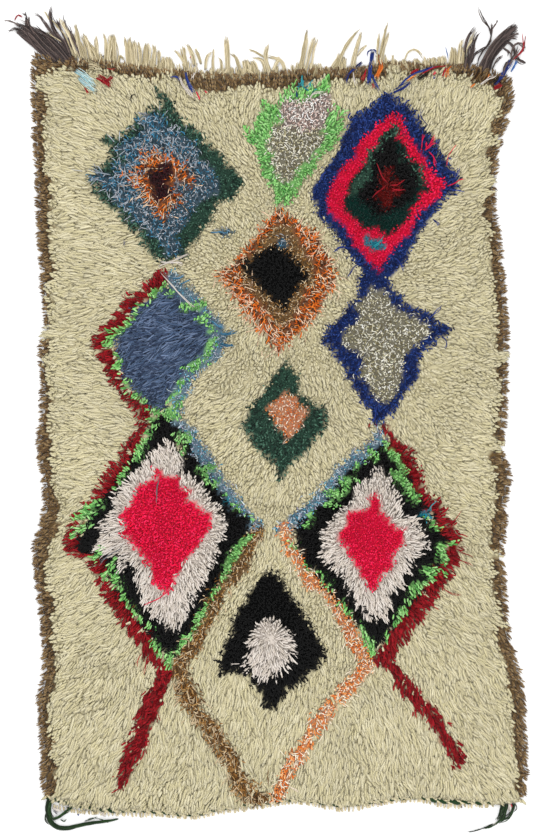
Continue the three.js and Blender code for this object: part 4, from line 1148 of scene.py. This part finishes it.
RIGHT_TASSEL = [
    ("selvedge", 26, 3.6, [(465, 74), (467, 64), (469, 53)]),
    ("selvedge", 5, 0.8, [(465, 66), (466, 44), (472, 31), (480, 23)]),
    ("selvedge", 5, 0.9, [(467, 66), (469, 52), (472, 41)]),
    ("selvedge", 8, 1.3, [(469, 68), (473, 49), (476, 37), (482, 28)]),
    ("selvedge", 5, 1, [(469, 68), (472, 54), (477, 47)]),
    ("warp", 5, 0.9, [(464, 62), (468, 46), (474, 36), (479, 30)]),
    ("selvedge", 4, 0.7, [(477, 66), (480, 55), (486, 47), (491, 40), (491, 33), (489, 25), (484, 20),
                          (480, 13), (476, 2)]),
    ("selvedge", 3, 0.6, [(491, 38), (492, 30), (493, 22)]),
    ("selvedge", 2, 0.3, [(492, 30), (495, 24), (497, 18)]),
    ("selvedge", 3, 0.7, [(471, 64), (475, 54), (480, 50), (487, 47), (493, 46)]),
    ("selvedge", 46, 6, [(484, 74), (488, 60), (496, 47), (504, 38), (512, 30), (519, 23)]),
    ("selvedge", 26, 5.5, [(482, 74), (486, 62), (492, 51), (500, 42)]),
    ("selvedge", 14, 4.5, [(502, 40), (509, 33), (515, 28), (520, 26)]),
    ("selvedge", 4, 0.8, [(506, 38), (513, 35), (521, 34)]),
    ("selvedge", 4, 0.8, [(504, 40), (512, 38), (519, 37)]),
    ("selvedge", 4, 0.7, [(500, 46), (504, 48), (508, 51), (511, 56)]),
    ("selvedge", 6, 1.1, [(503, 43), (509, 42), (514, 47), (516, 54), (519, 60), (527, 63)]),
    ("selvedge", 3, 0.7, [(492, 70), (496, 62), (501, 56), (507, 54)]),
    ("selvedge", 4, 0.7, [(511, 60), (512, 50), (517, 43), (522, 44), (525, 48), (527, 55)]),
    ("selvedge", 3, 0.7, [(509, 66), (513, 57), (517, 50), (521, 45)]),
    ("selvedge", 6, 1.2, [(502, 76), (506, 65), (511, 57)]),
    ("selvedge", 6, 1.4, [(517, 58), (522, 61), (527, 63)]),
    ("navy", 12, 2.2, [(496, 84), (501, 77), (505, 71), (509, 63), (513, 57)]),
    ("blue", 4, 0.8, [(511, 72), (516, 63), (518, 58)]),
    ("red", 3, 0.4, [(511, 61), (517, 56), (523, 49), (524, 41), (525, 28)]),
]
STRAYS = [
    ("sky", 12, 3.4, [(76, 70), (87, 78), (98, 87)]), ("sky", 10, 2.4, [(79, 78), (88, 86), (98, 94)]),
    ("red", 14, 3.2, [(97, 77), (104, 81), (112, 88)]),
    ("red", 8, 2, [(113, 77), (109, 81), (104, 86)]),
    ("red", 4, 1, [(85, 88), (87, 91), (90, 95)]), ("red", 2, 0.5, [(107, 69), (112, 70), (116, 71)]),
    ("black", 3, 0.4, [(136, 95), (132, 97), (132, 101), (133, 105)]),
    ("selvedge", 2, 0.4, [(108, 55), (104, 55), (101, 57), (101, 60)]),
    ("warp", 10, 4, [(88, 66), (94, 66), (100, 71)]),
    ("warp", 4, 1.4, [(116, 62), (118, 66), (120, 72)]),
    ("white", 6, 1.3, [(179, 76), (184, 87), (191, 95), (197, 100)]),
    ("navy", 4, 1, [(170, 78), (175, 77), (181, 80)]),
    ("navy", 7, 1.3, [(185, 70), (188, 82), (192, 91), (196, 97)]),
    ("crimson", 4, 1, [(196, 92), (198, 96), (200, 102)]), ("crimson", 3, 0.9, [(205, 91), (207, 94)]),
    ("black", 2, 0.8, [(194, 101), (196, 102)]), ("white", 3, 0.7, [(190, 56), (193, 68), (194, 80)]),
    ("white", 3, 0.7, [(197, 62), (195, 72), (192, 82)]), ("crimson", 2, 0.5, [(191, 55), (190, 58)]),
    ("forest", 3, 0.5, [(155, 87), (157, 93), (161, 97), (169, 100)]),
    ("teal", 5, 1, [(302, 75), (302, 82), (302, 90)]),
    ("teal", 4, 0.9, [(313, 80), (310, 84), (309, 90)]),
    ("light green", 2, 0.4, [(297, 79), (295, 83), (293, 88)]),
    ("light green", 2, 0.5, [(327, 76), (326, 82), (325, 90)]),
    ("navy", 2, 0.4, [(296, 91), (297, 100)]),
    ("white", 4, 0.7, [(309, 100), (313, 95), (319, 93), (327, 94)]),
    ("navy", 7, 1.6, [(363, 61), (353, 70), (346, 80), (347, 87)]),
    ("navy", 14, 2.3, [(373, 50), (371, 62), (369, 76), (369, 88)]),
    ("navy", 3, 0.5, [(367, 57), (368, 51), (374, 49), (378, 54), (380, 61)]),
    ("navy", 5, 0.9, [(372, 74), (375, 84), (379, 94)]),
    ("white", 3, 0.7, [(353, 72), (354, 80), (358, 88)]),
    ("orange", 12, 2.3, [(377, 54), (381, 64), (378, 74), (376, 82)]),
    ("red", 4, 0.8, [(367, 68), (364, 76), (361, 83)]), ("red", 3, 0.8, [(372, 84), (374, 90)]),
    ("navy", 7, 1.4, [(396, 90), (406, 79), (416, 73), (427, 70), (443, 62)]),
    ("navy", 8, 2, [(392, 93), (402, 88), (412, 82)]),
    ("blue", 2, 0.4, [(446, 46), (447, 52), (448, 59)]),
    ("red", 8, 1.6, [(410, 75), (415, 72), (420, 70)]),
    ("red", 5, 1, [(418, 76), (428, 71), (436, 67), (446, 65), (450, 59)]),
    ("crimson", 4, 1.3, [(433, 76), (436, 72)]), ("red", 4, 1, [(442, 78), (444, 72), (448, 66)]),
    ("orange", 4, 0.8, [(452, 65), (448, 70), (445, 80)]),
    ("orange", 3, 0.8, [(406, 82), (412, 78), (418, 74)]),
    ("black", 8, 2.2, [(417, 80), (422, 77), (428, 73)]), ("navy", 4, 1, [(433, 80), (435, 77)]),
    ("brown", 9, 3.2, [(471, 84), (477, 76), (482, 68)]),
    ("black", 3, 0.6, [(473, 80), (477, 73), (480, 68)]),
    ("white", 5, 0.9, [(479, 86), (488, 80), (498, 75)]), ("white", 2, 0.5, [(470, 78), (474, 73)]),
    ("orange", 4, 1.2, [(487, 79), (490, 74)]), ("orange", 4, 1.6, [(470, 89), (476, 85)]),
    ("brown", 6, 2, [(482, 82), (486, 77), (490, 71)]),
    ("red", 10, 2, [(493, 90), (498, 87), (502, 84)]),
    ("black", 6, 1.6, [(492, 84), (497, 80), (500, 76)]),
    ("navy", 8, 1.8, [(494, 86), (499, 80), (503, 74)]),
    ("white", 4, 0.8, [(190, 254), (180, 258), (172, 262), (160, 266), (152, 272)]),
    ("white", 5, 0.9, [(160, 262), (168, 263), (178, 262), (186, 266)]),
    ("white", 3, 0.5, [(160, 272), (172, 285), (180, 295), (192, 304), (205, 313)]),
    ("tweed", 7, 1.3, [(220, 334), (230, 334), (239, 332)]),
    ("tweed", 7, 1.3, [(219, 344), (228, 346), (236, 345)]),
    ("tweed", 6, 1.3, [(211, 321), (218, 326), (225, 328)]),
    ("tweed", 5, 1.1, [(172, 279), (180, 278), (187, 275)]),
    ("tweed", 5, 1.1, [(180, 285), (186, 282), (191, 280)]),
    ("tweed", 5, 1.2, [(205, 362), (210, 360), (214, 354)]),
    ("red", 3, 0.5, [(376, 163), (382, 176), (388, 187)]),
    ("red", 3, 0.5, [(371, 199), (379, 191), (388, 186)]),
    ("red", 3, 0.4, [(405, 180), (397, 185), (388, 187)]),
    ("red", 3, 0.4, [(405, 190), (398, 191), (390, 190)]),
    ("crimson", 3, 0.5, [(421, 150), (422, 142), (424, 132)]),
    ("crimson", 4, 0.7, [(424, 151), (430, 144), (436, 134)]),
    ("crimson", 2, 0.4, [(446, 168), (448, 156), (452, 148), (461, 142)]),
    ("crimson", 3, 0.5, [(428, 152), (433, 158), (435, 170)]),
    ("crimson", 3, 0.6, [(446, 187), (456, 183), (465, 179)]),
    ("navy", 4, 0.8, [(444, 168), (452, 173), (461, 176)]),
    ("navy", 3, 0.5, [(450, 190), (457, 191), (465, 194)]),
    ("navy", 4, 0.8, [(352, 248), (341, 248), (331, 254)]),
    ("navy", 3, 0.5, [(358, 264), (351, 271), (347, 280)]),
    ("navy", 3, 0.5, [(396, 258), (400, 264), (405, 272)]),
    ("navy", 2, 0.4, [(428, 127), (422, 120), (421, 113), (426, 106)]),
    ("navy", 4, 0.8, [(403, 108), (406, 103), (412, 100)]),
    ("navy", 4, 0.8, [(352, 122), (348, 118), (352, 113)]),
    ("navy", 4, 0.9, [(432, 220), (437, 224), (439, 228)]),
    ("navy", 4, 0.8, [(326, 172), (322, 176), (320, 182)]),
    ("grey", 3, 1, [(124, 246), (125, 243), (126, 240)]),
    ("tweed", 4, 1, [(210, 233), (220, 233), (228, 234)]),
    ("red", 2, 0.5, [(149, 288), (144, 284), (140, 281)]),
    ("red", 3, 0.6, [(136, 301), (127, 299), (121, 293)]),
    ("red", 2, 0.5, [(120, 330), (116, 325), (105, 321)]),
    ("red", 2, 0.5, [(444, 522), (454, 520), (463, 510)]),
    ("red", 2, 0.5, [(450, 556), (462, 561), (475, 566)]),
    ("red", 2, 0.5, [(436, 582), (448, 592), (463, 594)]),
    ("red", 3, 0.6, [(450, 536), (460, 534), (469, 535)]),
    ("red", 2, 0.5, [(455, 548), (466, 554), (475, 558)]),
    ("red", 2, 0.5, [(428, 600), (434, 606), (440, 611)]),
    ("red", 2, 0.5, [(418, 612), (422, 622), (425, 628)]),
    ("red", 2, 0.5, [(154, 708), (160, 716), (163, 722)]),
    ("red", 2, 0.5, [(143, 652), (138, 660), (136, 668)]),
    ("red", 2, 0.5, [(150, 654), (146, 662), (145, 676)]),
    ("crimson", 3, 0.5, [(172, 588), (158, 598), (141, 608)]),
    ("teal", 2, 0.5, [(437, 500), (431, 507), (431, 514)]),
    ("grey", 3, 0.5, [(160, 478), (157, 490), (159, 505)]),
    ("white", 3, 0.5, [(132, 540), (112, 548), (99, 562)]),
    ("grey", 3, 0.6, [(122, 548), (104, 558), (96, 566)]),
    ("navy", 4, 0.7, [(377, 405), (375, 414), (373, 424)]), ("white", 2, 0.4, [(240, 663), (229, 664)]),
    ("forest", 2, 0.4, [(300, 448), (308, 452), (307, 460), (301, 462)]),
    ("navy", 3, 0.6, [(427, 320), (436, 312), (442, 304)]),
    ("navy", 3, 0.6, [(441, 336), (446, 342), (444, 350)]),
    ("navy", 3, 0.6, [(452, 182), (458, 172), (459, 166)]),
    ("crimson", 3, 0.6, [(424, 152), (432, 146), (438, 142)]),
    ("teal", 3, 0.8, [(384, 236), (380, 242), (372, 250)]),
    ("crimson", 3, 0.6, [(426, 150), (425, 142)]),
    ("grey", 2, 0.5, [(150, 116), (136, 114)]), ("tweed", 3, 0.7, [(112, 176), (98, 172), (88, 168)]),
    ("tweed", 3, 0.6, [(104, 182), (94, 180), (86, 183)]),
    ("grey", 3, 0.5, [(172, 196), (178, 186), (176, 172)]),
    ("brown", 2, 0.4, [(268, 786), (268, 774), (267, 766)]),
]
GREEN_TAIL = [
    ("green", 26, 4.2, [(505, 803), (504, 810), (502, 817), (498, 824)]),
    ("green", 12, 1.7, [(514, 803), (513, 810), (509, 817), (500, 823)]),
    ("green", 6, 1.0, [(504, 818), (498, 823), (491, 827), (482, 829)]),
    ("green", 3, 0.5, [(494, 824), (485, 828), (475, 831), (465, 833)]),
    ("white", 8, 1.8, [(509, 803), (510, 808), (509, 813)]),
    ("crimson", 2, 0.6, [(511, 804), (512, 808)]),
    ("green", 2, 0.4, [(515, 803), (517, 809), (514, 814)]),
    ("white", 4, 1.2, [(497, 824), (493, 826)]),
]
EDGE_BITS = [
    ("green", 30, 3.4, [(50, 799), (48, 808), (49, 817), (55, 825)]),
    ("green", 3, 0.4, [(46, 812), (45, 820), (50, 826)]), ("green", 2, 0.3, [(58, 827), (56, 830)]),
    ("green", 3, 0.5, [(98, 819), (104, 821), (109, 824)]),
    ("green", 3, 0.6, [(84, 822), (92, 819), (100, 818)]),
    ("green", 12, 1.6, [(52, 820), (60, 817), (68, 811), (74, 806)]),
    ("green", 8, 1.2, [(66, 809), (70, 808), (76, 806), (86, 811)]),
    ("green", 4, 0.8, [(80, 806), (84, 808), (88, 812)]),
    ("green", 2, 0.3, [(60, 820), (64, 822), (68, 818)]),
    ("green", 8, 1.2, [(84, 809), (92, 808), (99, 810)]),
    ("green", 8, 1.2, [(102, 808), (107, 809), (113, 811)]),
    ("green", 4, 0.9, [(100, 806), (104, 808), (108, 810)]),
    ("green", 4, 0.9, [(110, 806), (114, 808), (118, 811)]),
    ("white", 6, 1.4, [(52, 808), (57, 810), (62, 812)]), ("grey", 3, 0.7, [(53, 811), (58, 814)]),
    ("navy", 2, 0.6, [(77, 815), (79, 816)]), ("white", 5, 1.4, [(101, 812), (103, 815), (105, 818)]),
    ("crimson", 2, 0.5, [(122, 812), (123, 814)]), ("warp", 5, 1.6, [(79, 812), (82, 813)]),
    ("navy", 2, 0.5, [(182, 810), (184, 812)]), ("crimson", 2, 0.4, [(361, 803), (362, 805)]),
    ("selvedge", 3, 0.6, [(461, 806), (462, 809)]),
    ("white", 3, 0.4, [(374, 804), (378, 806), (383, 806)]),
    ("brown", 3, 0.5, [(258, 803), (254, 807), (250, 810)]),
    ("brown", 4, 0.9, [(260, 800), (261, 806), (261, 809)]),
]
STRAND_WIDTH = 3.2


def level_over(x, y):
    """How high the pile carries a strand that lies across it, and 0 off the rug."""
    rim = edge_distances(x, y).min(axis=0)
    return 0.98 * pile_top(x, y) * rim_roll(rim) * smooth((rim + 4) / 16)


STRAND_LIFT = 0.4


def strands(rows, seed, width=STRAND_WIDTH, over=False, steps=9, waver=2.5, splay=1.5, heap=7,
            gather=(1.0, 0.75), twice=1):
    """Yarns that follow each row's turns side by side, a little wavy, with their tips splayed."""
    chance = np.random.default_rng(seed)
    groups = []
    for dye, count, half_width, turns in rows:
        count = count * twice
        x, y = np.array([spot(turn) for turn in turns]).T
        run = np.concatenate([[0], np.cumsum(np.hypot(np.diff(x), np.diff(y)))])
        shares = np.linspace(0, 1, steps) * chance.uniform(0.8, 1.0, (count, 1))
        middle_x = along(np.array([run, x]).T, shares * run[-1])
        middle_y = along(np.array([run, y]).T, shares * run[-1])
        ways = np.stack([np.gradient(middle_x, axis=1), np.gradient(middle_y, axis=1)], axis=2)
        ways /= np.linalg.norm(ways, axis=2, keepdims=True)
        lane = chance.uniform(-1, 1, (count, 1)) * (half_width * PIXEL - 0.3 * width)
        phase = chance.uniform(0, 2 * np.pi, (count, 1))
        turning = chance.uniform(0.6, 1.8, (count, 1)) * 2 * np.pi
        wave = np.minimum(waver, 0.06 * run[-1]) * np.sin(phase + turning * shares) * shares
        off = lane * (gather[0] + (gather[1] - gather[0]) * shares) + wave
        off = off + splay * chance.normal(0, 1, (count, 1)) * shares ** 2
        path_x = middle_x - ways[:, :, 1] * off
        path_y = middle_y + ways[:, :, 0] * off
        arc = np.sin(np.pi * (0.2 + 0.7 * shares))
        height = 0.5 * width + STRAND_LIFT + heap * chance.uniform(0, 1, (count, 1)) * arc
        if over:
            height = height + level_over(path_x.ravel(), path_y.ravel()).reshape(height.shape)
        taper = np.interp(np.linspace(0, 1, steps), [0, 0.7, 1], [1, 0.9, 0.45])
        widths = 0.5 * width * taper * chance.uniform(0.75, 1.15, (count, 1))
        palette = np.array([from_screen(shade) for shade in STRAND_DYES[dye]])
        shades = palette[chance.integers(0, len(palette), count)]
        shades = shades * chance.uniform(0.88, 1.1, (count, 1))
        side = np.stack([-ways[:, :, 1], ways[:, :, 0], np.zeros_like(path_x)], axis=2)
        groups.append(Locks(np.stack([path_x, path_y, height], axis=2), widths, shades, side,
                            np.full(count, 0.8)))
    return joined(groups)


# Warp and tassel wool, with painted shade towards each yarn's root.
warp_wool = wool("warp wool", painted_root_shade=0.8)
tassel_wool = wool("tassel wool", painted_root_shade=0.8)
FRINGE_STEP = 3.2
FRINGE_SPAN = (72, 466)


def short_fringe():
    """The cut warp ends that stand close together along the whole top end."""
    chance = np.random.default_rng(30)
    rows = []
    for px in np.arange(*FRINGE_SPAN, FRINGE_STEP):
        rim = PHOTO_MIDDLE[1] - along(TOP_EDGE, (px - PHOTO_MIDDLE[0]) * PIXEL) / PIXEL
        long = chance.uniform(2, 9) * (0.5 + abs(math.sin(px / 13)))
        lean = chance.normal(0, 1.5)
        rows.append(("warp", 5, 2.2, [(px, rim + 6), (px + 0.4 * lean, rim), (px + lean, rim - long)]))
    return rows


fringe_yarns = joined([strands(FRINGE, 31, gather=(1.7, 0.7), twice=2, steps=8),
                       strands(short_fringe(), 38, steps=8)])
fringe = yarn_mesh("warp_fringe_yarns", fringe_yarns, 3, warp_wool)
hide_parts("warp_fringe")
tassel_left = yarn_mesh("tassel_yarns_left", strands(LEFT_TASSEL, 32, heap=10, waver=4, splay=3),
                        4, tassel_wool)
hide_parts("corner_tassel_left")
tassel_right = yarn_mesh("tassel_yarns_right",
                         strands(RIGHT_TASSEL, 33, heap=10, waver=4, splay=3), 4, tassel_wool)
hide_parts("corner_tassel_right")
tail = yarn_mesh("green_tail_yarns", strands(GREEN_TAIL, 34, width=2.6, heap=9), 4, green_wool)
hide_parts("green_tail")
strays = yarn_mesh("stray_strands", strands(STRAYS, 35, width=2.2, over=True, heap=5, waver=4,
                                            splay=2.5), 3, dyed_wool)

# Twined cord along the bottom end, a green and a white strand turning round each other
TWINING_OFFSET = -5.4
TWINING_LEVEL = 5.2
TWINING_TURN = 29
TWINING_PLY = 3.5
TWINING_TWIST = 2.4
TWINING_STEPS = 440
TWINING_SPAN = (-575, 645)
TWINING_DYES = [(26, 52, 26), (204, 192, 158)]
TWINING_GREEN = ([-575, -540, -330, -60, 20, 180, 400, 430, 560, 600],
                 [1.3, 1.3, 1.1, 0.8, 1.0, 0.9, 0.9, 1.45, 1.45, 1.0])


def twined_cord():
    x = np.linspace(*TWINING_SPAN, TWINING_STEPS)
    turn = 2 * np.pi * x / TWINING_TURN + 1.1 * np.sin(x / 61) + 0.5 * np.sin(x / 17)
    swell = TWINING_PLY * (1 + 0.18 * np.sin(x / 23) + 0.12 * np.sin(x / 9.5))
    widths = np.array([swell * np.interp(x, *TWINING_GREEN), swell])
    paths = []
    for phase, width in zip((0, np.pi), widths):
        y = along(BOTTOM_EDGE, x) - TWINING_OFFSET - TWINING_TWIST * np.sin(turn + phase)
        z = TWINING_LEVEL + TWINING_TWIST * np.cos(turn + phase)
        paths.append(np.stack([x, y, np.maximum(z, width + 0.2)], axis=1))
    shades = np.array([from_screen(shade) for shade in TWINING_DYES])
    side = np.array([[0.0, 1.0, 0.0]] * 2)
    return Locks(np.array(paths), widths, shades, side, np.ones(2))


twining = yarn_mesh("twined_edge", twined_cord(), 6, green_wool)
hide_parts("edge_twining")
NUB_SPAN = (54, 496)
NUB_STEP = 3.4
NUB_DROP = ([54, 75, 100], [5, 4, 0])


def nubs():
    """The short warp ends that stick out below the twined cord."""
    chance = np.random.default_rng(39)
    rows = []
    places = np.arange(*NUB_SPAN, NUB_STEP)
    for px in places + chance.uniform(-1, 1, len(places)):
        rim = PHOTO_MIDDLE[1] - along(BOTTOM_EDGE, (px - PHOTO_MIDDLE[0]) * PIXEL) / PIXEL
        rim += np.interp(px, *NUB_DROP)
        long = 1.0 + 2.6 * chance.random() * (0.6 + 0.6 * math.sin(px / 17))
        rows.append(("warp", 2, 1.2, [(px, rim - 1.5), (px, rim + 1.5), (px, rim + 2.4 + long)]))
    return rows


edge_bits = joined([strands(EDGE_BITS, 36, width=2.6, heap=9), strands(nubs(), 40, width=5, heap=4)])
edge_bits = yarn_mesh("edge_bits", edge_bits, 4, green_wool)

# Floor and light
FLOOR_LEVEL = -0.0005
FLOOR_HALF_SIZE = 12
FLOOR_WHITE = (0.93, 0.93, 0.93, 1)
floor_mesh = bpy.data.meshes.new("floor")
floor_shape = bmesh.new()
bmesh.ops.create_grid(floor_shape, x_segments=1, y_segments=1, size=FLOOR_HALF_SIZE)
bmesh.ops.translate(floor_shape, verts=floor_shape.verts, vec=(0, 0, FLOOR_LEVEL))
floor_shape.to_mesh(floor_mesh)
floor_shape.free()
floor = bpy.data.objects.new("floor", floor_mesh)
bpy.context.scene.collection.objects.link(floor)
floor_paint = Paint("white floor")
floor_paint.set(Base_Color=FLOOR_WHITE, Roughness=0.9, Specular_IOR_Level=0.1)
floor_mesh.materials.append(floor_paint.material)


def softbox(name, place, size, power):
    light = bpy.data.lights.new(name, "AREA")
    light.shape = "SQUARE"
    light.size = size
    light.energy = power
    lamp = bpy.data.objects.new(name, light)
    lamp.location = place
    lamp.rotation_euler = (-Vector(place)).to_track_quat("-Z", "Y").to_euler()
    bpy.context.scene.collection.objects.link(lamp)


SOFTBOX_SIZE = 3.4
KEY_PLACE = (-1.2, 2.0, 4.4)
KEY_POWER = 88
FILL_PLACE = (1.8, -2.0, 4.4)
FILL_POWER = 60
SURROUND_WHITE = (1, 1, 1, 1)
SURROUND_STRENGTH = 1.12
softbox("key softbox", KEY_PLACE, SOFTBOX_SIZE, KEY_POWER)
softbox("fill softbox", FILL_PLACE, SOFTBOX_SIZE, FILL_POWER)
world = bpy.data.worlds.new("studio")
world.use_nodes = True
surround = world.node_tree.nodes["Background"]
surround.inputs["Color"].default_value = SURROUND_WHITE
surround.inputs["Strength"].default_value = SURROUND_STRENGTH
bpy.context.scene.world = world
bpy.context.scene.view_settings.view_transform = "Standard"
